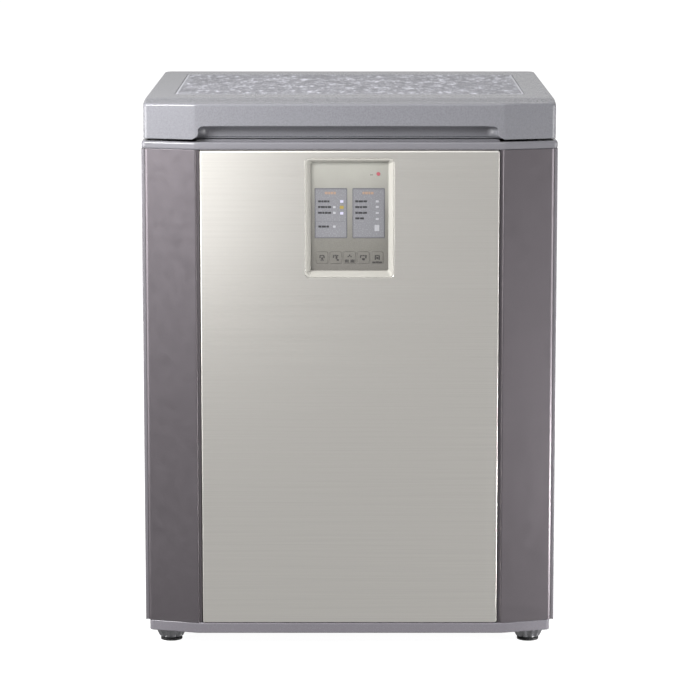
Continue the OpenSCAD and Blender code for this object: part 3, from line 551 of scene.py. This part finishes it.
def top_z(y):
    """Height of the lid's top: flat, then a soft fall to the front lip."""
    t = min(1.0, max(0.0, (-248 - y) / 54))
    u = min(1.0, max(0.0, (-304 - y) / 9))
    return 880 - 4.7 * t * t * (3 - 2 * t) + 0.9 * u * u * (3 - 2 * u)


def rear_y(z, d=0.0):
    return 325 - d if z >= 838 else 303 + math.sqrt(max(0.01, (22 - d) ** 2 - (838 - z) ** 2))


def lid_ring(d, z, yr, rc=9.0, rb=12.0):
    """Outline of the lid at a height, d inside the cabinet's plan, as (x, y) from the left corner round the front."""
    def half(s):
        xs = [recess_w(s, z) + 0.0]
        w = xs[0]
        edge = 330 - d
        yc = front_y(edge, d)
        arc = fillet((s * 300, front_y(300, d)), (s * edge, yc), (s * edge, yc + 100), rc, 6)
        c0 = abs(arc[0][0])
        out = [c0 + (290 - c0) * f for f in (0.0, 0.5)] + [290, 275] + [w + (262 - w) * f for f in OUTS]
        row = [s * x for x in out] + [s * (w - t) for t in INS]
        side_end = yr - rb
        side = [(s * edge, arc[-1][1] + (side_end - arc[-1][1]) * t) for t in SIDE_T]
        back = fillet((s * edge, yr - 100), (s * edge, yr), (0, yr), rb, 6)
        return row, arc, side, back

    lrow, larc, lside, lback = half(-1)
    rrow, rarc, rside, rback = half(1)
    xs = lrow + [-x for x in MIDS] + rrow[::-1]
    pts = [(x, front_y(x, d)) for x in xs]
    pts += rarc[1:] + rside[1:-1] + rback
    pts += [(x, yr) for x in REAR_X]
    pts += lback[::-1] + lside[1:-1][::-1] + larc[1:][::-1]
    return pts, len(xs)


def lid_cover():
    levels = [(819.0, 1.0), (819.3, 0.3), (820.0, 0.0), (821.6, 0), (821.9, 0), (822.3, 0), (822.7, 0), (823.6, 0), (825, 0), (826.5, 0), (828, 0), (831, 0)]
    levels += [(831 + 9 * sin(radians(a)), 0) for a in (12, 24, 36, 48, 60, 70, 80, 86)]
    levels += [(839.995, 0), (840.0, 0)] + [(841.5 - LIP * cos(radians(a)), 0) for a in (22, 45, 68)] + [(841.5, 0), (843, 0), (848, 0), (856, 0), (864, 0)]
    rings = []
    for z, ins in levels:
        pts, n = lid_ring(3 + ins, z, rear_y(z) - ins)
        rings.append([(x, y + (recess_depth(x, z) if i < n else 0), z) for i, (x, y) in enumerate(pts)])
    r = 4.6
    for a in (0, 15, 30, 45, 60, 75, 90):
        ins = r * (1 - cos(radians(a)))
        pts, n = lid_ring(3 + ins, 850, 325 - ins, 9 - ins * 0.6)
        rings.append([(x, y, top_z(y) - r + r * sin(radians(a))) for x, y in pts])
    base, n = lid_ring(3 + r, 850, 325 - r, 9 - r * 0.6)
    # the seat's outline with the same number of points
    c0 = base[0][0]
    seat = [(x * 280 / abs(c0), -185.0) for x, y in base[:n]]
    ra = fillet((0, -185), (283, -185), (283, 0), 3, 6)
    rb = fillet((283, 0), (283, 245), (0, 245), 3, 6)
    side = [(283, -182 + 424 * t) for t in SIDE_T][1:-1]
    seat += ra[1:] + side + rb + [(x * 260 / 280, 245.0) for x in REAR_X]
    seat += [(-x, y) for x, y in rb[::-1]] + [(-x, y) for x, y in side[::-1]] + [(-x, y) for x, y in ra[1:][::-1]]
    y0 = base[n // 2][1]
    for y in (-312, -307, -302, -297, -291, -285, -279, -273, -267, -261, -255, -249, -243, -225, -200, -188):
        t = (y - y0) / (-185 - y0)
        ring = [(a[0] + (b[0] - a[0]) * t, a[1] + (b[1] - a[1]) * t) for a, b in zip(base, seat)]
        rings.append([(x, yy, top_z(yy)) for x, yy in ring])
    rings.append([(x + (0.5 if x < -282 else -0.5 if x > 282 else 0) * -1, y, 880.0) for x, y in seat])
    rings.append([(x, y, 879.5) for x, y in seat])
    rings.append([(x, y, 877.0) for x, y in seat])
    outer_top = len(rings)
    inner = []
    for z in (819, 822, 826, 830, 834, 838, 842.9, 843.1, 873):
        pts, n = lid_ring(6, max(z, 819), rear_y(z, 3.0), 6, 9)
        inner.append([(x, max(y, -297.0) if i < n and abs(x) < 254 and z < 843 else y, z) for i, (x, y) in enumerate(pts)])
    shell = loft("lid_cover_shell", inner[::-1] + rings, caps=(True, True))
    solid = loft("lid_solid", rings, caps=(True, True))
    return shell, solid


def box_mesh(name, x0, x1, y0, y1, z0, z1):
    v = [(x, y, z) for x in (x0, x1) for y in (y0, y1) for z in (z0, z1)]
    f = [(0, 1, 3, 2), (4, 6, 7, 5), (0, 4, 5, 1), (2, 3, 7, 6), (0, 2, 6, 4), (1, 5, 7, 3)]
    return mesh(name, v, f)


def cut(me, *steps):
    """Exact booleans on a mesh: steps are (operation, other mesh)."""
    o = bpy.data.objects.new("work", me)
    scene.collection.objects.link(o)
    made = [o]
    for op, other in steps:
        t = bpy.data.objects.new("tool", other)
        scene.collection.objects.link(t)
        made.append(t)
        b = o.modifiers.new(op, "BOOLEAN")
        b.operation, b.object, b.solver = op, t, "EXACT"
    dg = bpy.context.evaluated_depsgraph_get()
    dg.update()
    out = bpy.data.meshes.new_from_object(o.evaluated_get(dg))
    for t in made:
        bpy.data.objects.remove(t)
    return out


shell, solid = lid_cover()
pockets = [cut(solid.copy(), ("INTERSECT", box_mesh("b", *sorted((s * 188, s * 232)), 277, 330, 818, 862))) for s in (-1, 1)]
shell = cut(shell, *[("UNION", p) for p in pockets], *[("DIFFERENCE", box_mesh("n", *sorted((s * 190, s * 230)), 279, 340, 810, 860)) for s in (-1, 1)])
shell.name = "lid_cover_shell"
place("lid_cover_shell", shell, "lid", "lid", ("lid_cover",), 30)

# plates that close the lid's underside behind its canted corners
for s in (-1, 1):
    tri = [(254.4, -297.0), (254.4, -315.2), (315.0, -297.4)]
    rings = []
    for z, d in ((819.3, 0.25), (819.5, 0.0), (821.6, 0.0)):
        c = np.mean(tri, axis=0)
        rings.append([(s * (x + (c[0] - x) * d * 0.03), y + (c[1] - y) * d * 0.08, z) for x, y in outline(tri, (1.0, 1.2, 0.8), 4)])
    place("lid_corner_plate_" + ("right" if s > 0 else "left"), loft("plate", rings, caps=(True, True)), "lid", "lid")

# inlay: a slab with a rim round it; the rim's pale colour is partly a painted highlight on its chamfer
rim = [(0.0, 877.1), (0.0, 879.0), (0.5, 879.65), (1.2, 879.9), (3.2, 879.9), (3.6, 879.72), (3.7, 879.3), (3.7, 877.1)]
place("lid_inlay_rim", loft("lid_inlay_rim", [in_plan(rect(-282.4 + d, 282.4 - d, -184.4 + d, 244.4 - d, max(0.3, 3 - d), 6), z) for d, z in rim], closed=True), "inlay_rim", "lid")
slab = [(3.8, 877.1), (3.8, 879.45), (4.1, 879.72), (4.6, 879.82)]
place("lid_inlay", loft("lid_inlay", [in_plan(rect(-282.4 + d, 282.4 - d, -184.4 + d, 244.4 - d, 1.5, 6), z) for d, z in slab], caps=(True, True)), "inlay", "lid", ("lid_top_panel",))


# ------------------------------------------------------------ front shell ---
def top_frame():
    """Collar with a rolled, slightly raised rim at the front and sides, the deck, and the skirt round the tub."""
    ys = [-290.0, -200.0, -100.0, 0.0, 100.0, 200.0, 250.0, 262.0, 270.0, 278.0, 286.0, 300.0]

    def plan(d):
        e = 330 - d
        arc = fillet((300, front_y(300, d, 3)), (e, front_y(e, d, 3)), (e, 200), max(1.0, 8 - d), 6)
        back = fillet((e, 200), (e, 325 - d), (0, 325 - d), max(1.0, 6 - d * 0.5), 6)
        xs = [0.0, 120.0, 235.0, 242.0, 244.0, 245.5, 248.0, 290.0]
        right = [(x, front_y(x, d, 3)) for x in xs] + arc + [(e, y) for y in ys] + back + [(150.0, 325 - d)]
        return right + [(0.0, 325 - d)] + [(-x, y) for x, y in right[:0:-1]]

    def tub(d, r):
        e, y0, y1 = 263 + d, -243 - d, 250 + d
        arc = fillet((0, y0), (e, y0), (e, 0), r, 6)
        back = fillet((e, 0), (e, y1), (0, y1), r, 6)
        xs = [x * (e - r - 2) / 292 for x in (0.0, 120.0, 235.0, 242.0, 244.0, 245.5, 248.0, 290.0)]
        t = [(y + 290) / 590 for y in ys]
        side = [(e, arc[-1][1] + (back[0][1] - arc[-1][1]) * (0.01 + 0.98 * v)) for v in t]
        right = [(x, y0) for x in xs] + arc + side + back + [(130.0, y1)]
        return right + [(0.0, y1)] + [(-x, y) for x, y in right[:0:-1]]

    def lift(y):
        t = min(1.0, max(0.0, (284 - y) / 16))
        return 1.6 * t * t * (3 - 2 * t)

    rings = [[(x, y, z) for x, y in plan(d)] for d, z in ((3.2, 803.0), (2.0, 803.2), (1.1, 803.9), (0.45, 804.9), (0.1, 806.0), (0.0, 807.2))]
    r = 4.0
    for a in (0, 14, 28, 42, 56, 70, 80, 90):
        rings.append([(x, y, 810.0 + lift(y) + r * sin(radians(a))) for x, y in plan(r * (1 - cos(radians(a))))])
    for d, k in ((8.0, 1.0), (8.8, 0.86), (9.4, 0.5), (10.0, 0.14), (10.8, 0.0), (16.0, 0.0)):
        rings.append([(x, y, 814.0 + lift(y) * k) for x, y in plan(d)])
    for a in (90, 65, 40, 20, 0):
        rings.append([(x, y, 812.0 + 2 * sin(radians(a))) for x, y in tub(2 - 2 * cos(radians(a)), 26)])
    rings += [[(x, y, z) for x, y in tub(d, 26 + d)] for d, z in ((0, 797.0), (0.6, 796.2), (1.5, 796.0), (2.4, 796.2), (3.0, 797.0), (3.0, 811.0))]
    rings += [[(x, y, z) for x, y in plan(d)] for d, z in ((16.0, 811.0), (4.0, 811.0), (4.0, 803.2))]
    place("top_frame_shell", loft("top_frame_shell", rings, closed=True), "collar", "cabinet", ("top_frame",), 35)


top_frame()
# bead on the collar, under the finger recess
bead = [(-300.4, 813.8), (-300.4, 816.6), (-300.0, 817.4), (-299.2, 817.8), (-298.2, 817.8), (-297.4, 817.4), (-297.0, 816.6), (-297.0, 813.8)]
rings = []
for x, k in ((-243.0, 0.15), (-242.6, 0.6), (-241.6, 0.92), (-240.0, 1.0), (235.0, 1.0), (236.6, 0.92), (237.6, 0.6), (238.0, 0.15)):
    rings.append([(x, y, 813.8 + (z - 813.8) * k) for y, z in bead])
place("collar_bead", loft("collar_bead", rings, caps=(True, True)), "collar", "cabinet")

rounded("base_frame", "base", "cabinet", 0.4, 2, [
    (lambda e: at(e, 2, 38) and e.calc_face_angle(0) > 0.5 and all(abs(v.co.x) > 0.318 or v.co.y < -0.29 for v in e.verts), 2.2, 5),
    (lambda e: at(e, 2, 21) and e.calc_face_angle(0) > 0.5 and all(abs(v.co.x) > 0.3225 or v.co.y < -0.296 for v in e.verts), 1.6, 4),
])


def pillar(s):
    """Canted trim: rolled inner edge, narrow ledge beside the front panel, rounded outer corner."""
    def line(x, off):
        return -324.8 + (-243.5 - x) * 0.29222 + off * 1.0418
    outer = [(-237.7, -292.2), (-237.7, -320.9), (-238.0, -321.4), (-238.5, -321.6), (-241.2, -321.6), (-241.8, -321.8), (-242.0, -322.1)]
    outer += fillet((-242, -300), (-242, line(-242, 0)), (-300, line(-300, 0)), 2.6, 8)
    outer += fillet((-300, line(-300, 0)), (-326.0, line(-326.0, 0)), (-326.0, -280), 8.0, 12)
    outer += [(-326.0, -291)]
    inner = [(-323.8, -291)]
    inner += fillet((-323.8, -280), (-323.8, line(-323.8, 2.5)), (-300, line(-300, 2.5)), 6.0, 8)
    inner += fillet((-300, line(-300, 2.5)), (-244.5, line(-244.5, 2.5)), (-244.5, -300), 1.5, 5)
    inner += [(-244.5, -319.4), (-240.2, -319.2), (-240.2, -292.2)]
    path = outer + inner
    levels = [(38.0, 0.35), (38.5, 0.0), (802.6, 0.0), (803.0, 0.3)]
    c = np.array(path).mean(0)
    rings = []
    for z, k in levels:
        rings.append([(-s * (x + (k if x < c[0] else -k) * 0.5), y + k * 0.5, z) for x, y in path])
    name = "pillar_trim_" + ("right" if s > 0 else "left")
    place(name + "_shell", loft(name, rings, caps=(True, True)), "pillar", "cabinet", (name,), 40)


pillar(-1)
pillar(1)


def hem(s):
    """Folded front edge of a side panel, rounded at the front and at its lower end."""
    path = [(-329.92, -290.0)] + fillet((-329.92, -290), (-329.92, -299.25), (-324.92, -299.25), 1.7, 6) + [(-325.3, -299.23), (-325.04, -299.1), (-325.1, -298.9), (-325.8, -297.6), (-326.31, -295.5), (-326.35, -290.0)]
    rings = []
    for z, k in ((38.2, 0.55), (38.8, 0.2), (39.8, 0.0), (802.4, 0.0), (802.9, 0.3)):
        rings.append([(-s * (x + (k if x < -328.2 else -k)), y + (k if y < -295 else 0), z) for x, y in path])
    name = "side_hem_" + ("right" if s > 0 else "left")
    place(name, loft(name, rings, caps=(True, True)), "side", "cabinet", (), 40)


hem(-1)
hem(1)


def front_panel():
    """Folded front sheet with softly rolled edges and the pocket for the keys."""
    def out(d):
        return rect(-237 + d * 0.55, 237 - d * 0.3, 38.3 + d * 0.5, 802.8 - d, max(0.8, 3.0 - d * 0.4), 6)

    def hole(d):
        return rect(-70.6 - d, 70.6 + d, 599.9 - d, 790.1 + d, 6.5 + d, 6)
    rings = [in_front(out(0), -313.0)]
    rings += [in_front(out(4 * (1 - cos(radians(a)))), -321 - 4 * sin(radians(a))) for a in (0, 15, 30, 45, 60, 75, 90)]
    rings += [in_front(out(4.8), -325.0)]
    rings += [in_front(hole(0.8), -325.0)] + [in_front(hole(0.4 - 0.4 * sin(radians(a))), -324.6 - 0.4 * cos(radians(a))) for a in (0, 30, 60, 90)]
    rings += [in_front(hole(0), -323.8), in_front(hole(2), -323.8)]
    rings += [in_front(out(4.6), -323.8), in_front(out(2.3), -322.9), in_front(out(1.2), -320.6), in_front(out(1.2), -313.0)]
    place("front_panel_shell", loft("front_panel_shell", rings, closed=True), "panel", "cabinet", ("front_panel",), 50)


front_panel()


# -------------------------------------------------------------- key panel ---
def bezel():
    def out(d):
        return rect(-70.4 + d, 70.4 - d, 600.1 + d, 789.9 - d, 6.4 - d, 8)
    inner = rect(-61.5, 61.5, 610.2, 783, 3, 8)
    rings = [in_front(out(0), -316.0), in_front(out(0), -324.5), in_front(out(0.1), -324.78), in_front(out(0.35), -324.88), in_front(out(1.3), -324.9)]
    a = out(1.3)
    for t in (0.03, 0.08, 0.15, 0.3, 0.5, 0.7, 0.84, 0.9, 0.95, 0.985):
        s = t * (1 - 0.10 * max(0.0, 1 - t / 0.15)) if t < 0.15 else t + 0.05 * max(0.0, (t - 0.84) / 0.16) * (1 - t) * 4
        ring = []
        for p, q in zip(a, inner):
            up = min(1.0, max(0.0, (p[1] - 780) / 6))
            left = min(1.0, max(0.0, (-p[0] - 61) / 6))
            k = max(up, 0.75 * left)
            ring.append((p[0] + (q[0] - p[0]) * t, -324.9 + 8.6 * (s + (t**2.6 - s) * k), p[1] + (q[1] - p[1]) * t))
        rings.append(ring)
    rings += [in_front(inner, -316.15), in_front(inner, -316.0)]
    place("control_bezel_shell", loft("control_bezel_shell", rings, closed=True), "bezel", "cabinet", ("control_bezel",), 50)


bezel()
rounded("display_plate", "plate", "cabinet", 0.22, 2)
for n in ("window_left", "window_right"):
    rounded(n, "window", "cabinet", 0.35, 3)
rounded("power_indicator", "red", "cabinet", 0.5, 3)

WY = -316.3  # front of the windows
ink, amber, off_led, white_led, gold_led, lines = Marks(), Marks(), Marks(), Marks(), Marks(), Marks()


def px(x, z_row):
    """Millimetres of a point on the key panel's plane from the picture's column and row."""
    return (x - 349.65) / 0.6211, 1332 - (z_row + 179.7) / 0.6211


def dashes(group, x0, x1, row, cuts, h=1.15, y=WY):
    """A row of short generic blocks between two columns of the picture; cuts gives their shares and gaps."""
    a, z = px(x0, row)
    b, _ = px(x1, row)
    total = sum(abs(c) for c in cuts)
    x = a
    for i, c in enumerate(cuts):
        w = (b - a) * abs(c) / total
        if c > 0:
            lift = (0.12, -0.08, 0.05, -0.12)[i % 4]
            group.pad(x, x + w, z - h / 2 - 0.95 + lift, z + h / 2 + 0.95 + lift, y)
        x += w


dashes(ink, 318.6, 329.8, 200.0, (2.2, -0.3, 1.4, -0.3, 2.6, -0.3, 1.6), 1.2)
dashes(ink, 318.6, 331.4, 205.6, (1.5, -0.3, 2.6, -0.3, 1.3, -0.3, 2.2), 1.2)
dashes(ink, 318.6, 331.4, 211.3, (2.6, -0.3, 1.4, -0.3, 1.9, -0.3, 2.0), 1.2)
dashes(ink, 318.9, 329.4, 224.9, (1.7, -0.3, 2.3, -0.3, 1.5), 1.2)
dashes(ink, 355.2, 366.8, 200.0, (1.6, -0.3, 2.4, -0.3, 2.0), 1.2)
dashes(ink, 355.2, 366.8, 205.6, (2.3, -0.3, 1.3, -0.3, 2.4), 1.2)
dashes(ink, 355.2, 366.8, 211.3, (1.4, -0.3, 2.2, -0.3, 2.2), 1.2)
dashes(ink, 355.2, 363.8, 216.8, (2.0, -0.3, 1.9), 1.2)
dashes(amber, 325.2, 336.2, 191.8, (2.4, -0.4, 1.5, -0.4, 2.1, -0.4, 1.8), 2.0)
dashes(amber, 362.2, 373.2, 191.8, (1.7, -0.4, 2.3, -0.4, 1.5, -0.4, 2.2), 2.0)
for row in (205.6, 211.3, 224.9):
    x, z = px(334.6, row)
    off_led.pad(x - 2.0, x + 2.0, z - 1.7, z + 1.7, WY, r=0.4)
for row in (200.0, 205.4, 211.4, 217.3):
    x, z = px(376.8, row)
    off_led.pad(x - 2.3, x + 2.3, z - 1.6, z + 1.6, WY, r=0.4)
x0, z1 = px(374.2, 223.2)
x1, z0 = px(378.8, 229.3)
off_led.pad(x0, x1, z0, z1, WY, r=0.6)
for group, row in ((white_led, 200.0), (gold_led, 205.8), (white_led, 211.7)):
    x, z = px(341.9, row)
    h = 2.5 if group is gold_led else 2.0
    group.pad(x - h * 1.25, x + h * 1.25, z - h, z + h, WY, r=0.4)
# thin frames printed round the two windows, and the divider in the left one
for xc in (-29.7, 30.1):
    for x0, x1, z0, z1 in ((-25.5, 25.5, 739.9, 741.4), (-25.5, 25.5, 662.6, 664.1), (-25.5, -24.1, 664.1, 739.9), (24.1, 25.5, 664.1, 739.9)):
        lines.pad(xc + x0, xc + x1, z0, z1, WY, 0.06, 0.1)
xa, z = px(317.2, 220.0)
xb, _ = px(345.4, 220.0)
lines.pad(xa, xb, z - 0.25, z + 0.25, WY, 0.06, 0.1)
ink.done("window_marks", "ink", "cabinet", "display_window")
amber.done("window_headings", "ink_amber", "cabinet", "display_window")
off_led.done("status_lenses", "led_off_painted_glow", "cabinet", "light_guide")
white_led.done("status_lenses_white", "led_white", "cabinet", "light_guide")
gold_led.done("status_lenses_gold", "led_gold", "cabinet", "light_guide")
lines.done("window_lines", "frame_ink", "cabinet", "display_window")

# small printed mark beside the red lamp
plate_ink = Marks()
x, z = px(371.2, 173.8)
plate_ink.pad(x - 1.6, x - 0.4, z - 0.9, z + 0.9, -316.0, 0.06)
plate_ink.pad(x + 0.2, x + 2.0, z - 0.5, z + 0.5, -316.0, 0.06)
plate_ink.done("plate_marks", "ink_soft", "cabinet", "key_plate")

KEYS_X = (-43.8, -21.9, 0.0, 21.9, 43.8)
KZ, KY = 631.0, -316.6
icons = (
    [(-4.2, 4.0, 2.2, 4.4), (-4.2, -2.4, -0.8, 2.2), (2.2, 4.0, -0.8, 2.2), (-2.6, 2.8, -5.0, -2.8), (-1.2, 1.4, -2.8, 0.6)],
    [(-4.8, 4.2, 2.4, 4.6), (-4.8, -2.8, -0.2, 2.4), (-0.4, 2.4, -1.8, 2.4), (1.2, 4.8, -5.0, -2.4)],
    [(-1.0, 1.0, 2.0, 5.0), (-3.2, -1.4, 0.8, 2.8), (1.4, 3.2, 0.8, 2.8), (-7.8, -1.4, -7.8, -2.8), (1.4, 7.8, -7.8, -2.8)],
    [(-5.6, 5.8, 2.2, 4.2), (2.8, 5.0, -1.2, 2.2), (-2.0, 2.2, -4.2, -0.6), (-5.6, -3.8, -0.4, 2.2)],
    [(-4.0, 4.0, 2.4, 4.4), (-4.0, -2.2, -3.6, 2.4), (2.2, 4.0, -3.6, 2.4), (-1.6, 1.6, -2.2, 1.2), (-8.0, 8.0, -8.5, -5.9)],
)
for i, (kx, marks) in enumerate(zip(KEYS_X, icons)):
    body = f"key_{i + 1}"
    rounded(f"button_{i + 1}", "key", body, 0.35, 3)
    g = Marks()
    for x0, x1, z0, z1 in marks:
        if x1 - x0 > 5 and z1 - z0 > 1.9:  # a block of small marks
            k = (x1 - x0) / 3
            for j in range(3):
                g.pad(kx + x0 + j * k + 0.15, kx + x0 + (j + 1) * k - 0.25, KZ + z0 + 0.2 * (j % 2), KZ + z1 - 0.3 * ((j + 1) % 2), KY, 0.08)
        else:
            g.pad(kx + x0, kx + x1, KZ + z0, KZ + z1, KY, 0.08)
    g.done(f"button_{i + 1}_mark", "ink_soft", body, "key_plate")


# ------------------------------------------------------------------- feet ---
def foot(s):
    """Fluted levelling knob on its threaded stud."""
    cx, cy = s * 290.0, -275.0
    prof = [(6.0, 17.2, 0.0), (6.0, 18.4, 0.0), (6.5, 19.2, 0.3), (8.2, 20.3, 1.0), (11, 21.7, 1.0), (14, 23.1, 1.0), (16.6, 24.3, 1.0), (18.2, 24.9, 1.0), (19.3, 24.7, 0.8), (20.1, 23.8, 0.35), (20.5, 22.4, 0.0), (20.5, 9.5, 0.0), (21.3, 8.6, 0.0), (21.3, 5.0, 0.0)]
    n = 12 * 16
    rings = []
    for z, r, k in prof:
        ring = []
        for j in range(n):
            a = 2 * pi * j / n
            f = max(0.0, 1 - (1 - abs(cos(6 * a))) * 1.5) ** 0.8
            rr = r - 3.2 * k * f
            ring.append((cx + rr * cos(a), cy + rr * sin(a), z))
        rings.append(ring)
    # the thread, as closed rounds 1.5 mm apart
    z = 21.3
    while z < 64.5:
        for dz, r in ((0.2, 4.95), (0.55, 4.95), (0.95, 4.25), (1.3, 4.25)):
            rings.append([(cx + r * cos(2 * pi * j / n), cy + r * sin(2 * pi * j / n), z + dz) for j in range(n)])
        z += 1.5
    for z, r in ((65.2, 4.9), (66.0, 4.2)):
        rings.append([(cx + r * cos(2 * pi * j / n), cy + r * sin(2 * pi * j / n), z) for j in range(n)])
    side = "right" if s > 0 else "left"
    place(f"foot_knob_{side}_shell", loft(f"foot_knob_{side}_shell", rings, caps=(True, True)), "gloss_black", f"knob_{side}", (f"foot_knob_{side}",), 50)


foot(-1)
foot(1)

# ------------------------------------------------- the rest of the nodes ----
OF_NODE = {n: b for b, ns in frame["record"]["behaviour"]["bodies"].items() for n in ns}
REST = [
    # node, material, slot, edge rounding in mm (0 keeps the CAD mesh)
    ("side_panel_left", "side", "painted_side", 0.45), ("side_panel_right", "side", "painted_side", 0.45),
    ("rear_panel", "galv", "galvanised", 0.4), ("front_inner_sheet", "galv", "galvanised", 0),
    ("panel_backing", "eps", "packing_foam", 0), ("base_plate", "galv", "galvanised", 0.4),
    ("foam_body", "foam", "insulation", 0), ("inner_liner", "tub", "tub_aluminium", 0.4),
    ("evaporator_coil", "copper", "copper", 0), ("machine_cover", "galv", "galvanised", 0.3),
    ("cord_inlet", "black", "black_plastic", 0.6), ("rear_screws", "steel", "bright_steel", 0.5),
    ("compressor", "enamel", "black_enamel", 0), ("compressor_mounts", "rubber", "black_rubber", 0.8),
    ("terminal_cover", "black", "black_plastic", 0.6), ("condenser_coil", "enamel", "black_enamel", 0),
    ("fan_bracket", "galv", "galvanised", 0.3), ("fan_motor", "black", "black_plastic", 0.6),
    ("fan_blade", "black", "black_plastic", 0.3), ("filter_drier", "copper", "copper", 0),
    ("refrigerant_lines", "copper", "copper", 0), ("main_pcb", "board", "circuit_board", 0.2),
    ("pcb_box", "white", "white_plastic", 0.5), ("wiring_harness", "rubber", "black_rubber", 0),
    ("status_leds", "guide", "light_guide", 0.3), ("display_pcb", "board", "circuit_board", 0.2),
    ("control_box", "black", "black_plastic", 0.3), ("hinge_brackets", "steel", "bright_steel", 0.5),
    ("hinge_pins", "steel", "bright_steel", 0.6), ("hinge_springs", "steel", "bright_steel", 0),
    ("foot_sockets", "galv", "galvanised", 0.5), ("wheel_brackets", "galv", "galvanised", 0.4),
    ("wheel_axles", "steel", "bright_steel", 0.4), ("lid_foam", "foam", "insulation", 0),
    ("lid_inner_liner", "white", "white_plastic", 0.8), ("lid_gasket", "seal", "grey_seal", 0.7),
    ("lid_knuckles", "galv", "galvanised", 0.6), ("foot_pad_left", "rubber", "black_rubber", 0.9),
    ("foot_pad_right", "rubber", "black_rubber", 0.9), ("rear_wheel_left", "black", "black_plastic", 0.8),
    ("rear_wheel_right", "black", "black_plastic", 0.8),
]
for node, mat, slot, width in REST:
    if width:
        rounded(node, mat, OF_NODE[node], width, 2)
for node, o in frame["nodes"].items():
    look = next((m for n, m, s, w in REST if n == node), "lid")
    o.data.materials.clear()
    o.data.materials.append(MAT[look])

# ----------------------------------------------------------------- studio ---
floor_mat = Look("studio_floor", Emission_Color=(1, 1, 1, 1), Emission_Strength=0.97)
floor_mat.colour(floor_mat.ramp(floor_mat.noise(2, 3), (0.3, (0.20, 0.20, 0.20)), (0.7, (0.22, 0.22, 0.22))))
floor_mat.rough(floor_mat.span(floor_mat.noise(40, 2), 0.85, 0.95))
fl = bpy.data.meshes.new("floor")
fl.from_pydata([(-80, -60, 0), (80, -60, 0), (80, 80, 0), (-80, 80, 0)], [], [(0, 1, 2, 3)])
floor = bpy.data.objects.new("floor", fl)
fl.materials.append(floor_mat.m)
scene.collection.objects.link(floor)
floor.visible_glossy = False
floor.visible_diffuse = False


def area(name, loc, target, size, size_y, power, tint=(1, 1, 1)):
    lamp = bpy.data.lights.new(name, "AREA")
    lamp.shape, lamp.size, lamp.size_y, lamp.energy, lamp.color = "RECTANGLE", size, size_y, power, tint
    o = bpy.data.objects.new(name, lamp)
    scene.collection.objects.link(o)
    o.location = loc
    o.rotation_euler = (Vector(target) - Vector(loc)).to_track_quat("-Z", "Y").to_euler()
    o.visible_camera = False
    return o


area("key_softbox", (-0.95, -1.25, 1.45), (-0.1, -0.3, 0.6), 0.6, 0.6, 34)
area("near_softbox", (-0.4, -0.95, 0.75), (-0.2, -0.3, 0.7), 0.4, 0.5, 0.54)
area("left_softbox", (-1.2, -0.9, 0.95), (-0.2, -0.3, 0.7), 0.5, 0.9, 5.8)
area("left_side", (-2.1, -0.45, 0.75), (-0.33, -0.28, 0.6), 1.2, 1.5, 22)
area("right_side", (2.1, -0.45, 0.75), (0.33, -0.28, 0.6), 1.2, 1.5, 13)
area("left_front", (-2.2, -1.15, 0.58), (0.22, -0.31, 0.82), 1.2, 0.35, 9)
area("right_front", (2.2, -1.15, 0.58), (-0.22, -0.31, 0.82), 1.2, 0.35, 11.5)
area("right_low", (1.6, -1.6, 0.12), (0.1, -0.3, 0.3), 0.8, 0.22, 0.8)
area("base_right", (1.2, -0.55, 0.06), (0.3, -0.3, 0.02), 0.4, 0.12, 11)
area("top_softbox", (0.0, -0.1, 2.5), (0.0, 0.0, 0.8), 1.6, 1.2, 13)
area("front_softbox", (0.0, -2.4, 2.6), (0.0, -0.2, 0.6), 1.4, 0.8, 8)
area("back_softbox", (0.0, 2.6, 1.9), (0.0, 0.2, 0.85), 2.4, 0.6, 1.0)
area("back_low", (0.0, 3.4, 1.45), (0.0, 0.2, 0.88), 3.4, 0.8, 5.6)
area("back_fill", (0.0, 3.2, 0.3), (0.0, 0.3, 0.45), 2.4, 0.7, 26)

world = bpy.data.worlds.new("studio")
scene.world = world
world.use_nodes = True
nt = world.node_tree
nt.nodes.clear()


def wnode(kind, **props):
    n = nt.nodes.new(kind)
    for k, v in props.items():
        setattr(n, k, v)
    return n


def wmath(op, a, b=0.0):
    n = wnode("ShaderNodeMath", operation=op)
    for i, v in enumerate((a, b)):
        if isinstance(v, bpy.types.NodeSocket):
            nt.links.new(v, n.inputs[i])
        else:
            n.inputs[i].default_value = v
    return n.outputs[0]


direction = wnode("ShaderNodeTexCoord").outputs["Generated"]
sep = wnode("ShaderNodeSeparateXYZ")
nt.links.new(direction, sep.inputs[0])
# brightness by height: dark below, a bright horizon, a dimmer band above it, bright overhead
ramp = wnode("ShaderNodeValToRGB")
half = wmath("ADD", wmath("MULTIPLY", sep.outputs["Z"], 0.5), 0.5)
nt.links.new(half, ramp.inputs["Fac"])
stops = [(0.0, 0.66), (0.275, 0.60), (0.38, 0.42), (0.45, 0.82), (0.51, 0.36), (0.575, 0.10), (0.70, 0.55), (1.0, 0.60)]
el = ramp.color_ramp.elements
while len(el) < len(stops):
    el.new(0.5)
for e, (p, v) in zip(el, stops):
    e.position, e.color = p, (v, v, v, 1)
total = ramp.outputs["Color"]
bw = wnode("ShaderNodeRGBToBW")
nt.links.new(total, bw.inputs[0])
total = bw.outputs[0]
back = wnode("ShaderNodeBackground")
nt.links.new(total, back.inputs["Strength"])
white = wnode("ShaderNodeBackground")
white.inputs["Strength"].default_value = 1.05
path = wnode("ShaderNodeLightPath")
mixer = wnode("ShaderNodeMixShader")
nt.links.new(path.outputs["Is Camera Ray"], mixer.inputs[0])
nt.links.new(back.outputs[0], mixer.inputs[1])
nt.links.new(white.outputs[0], mixer.inputs[2])
nt.links.new(mixer.outputs[0], wnode("ShaderNodeOutputWorld").inputs["Surface"])
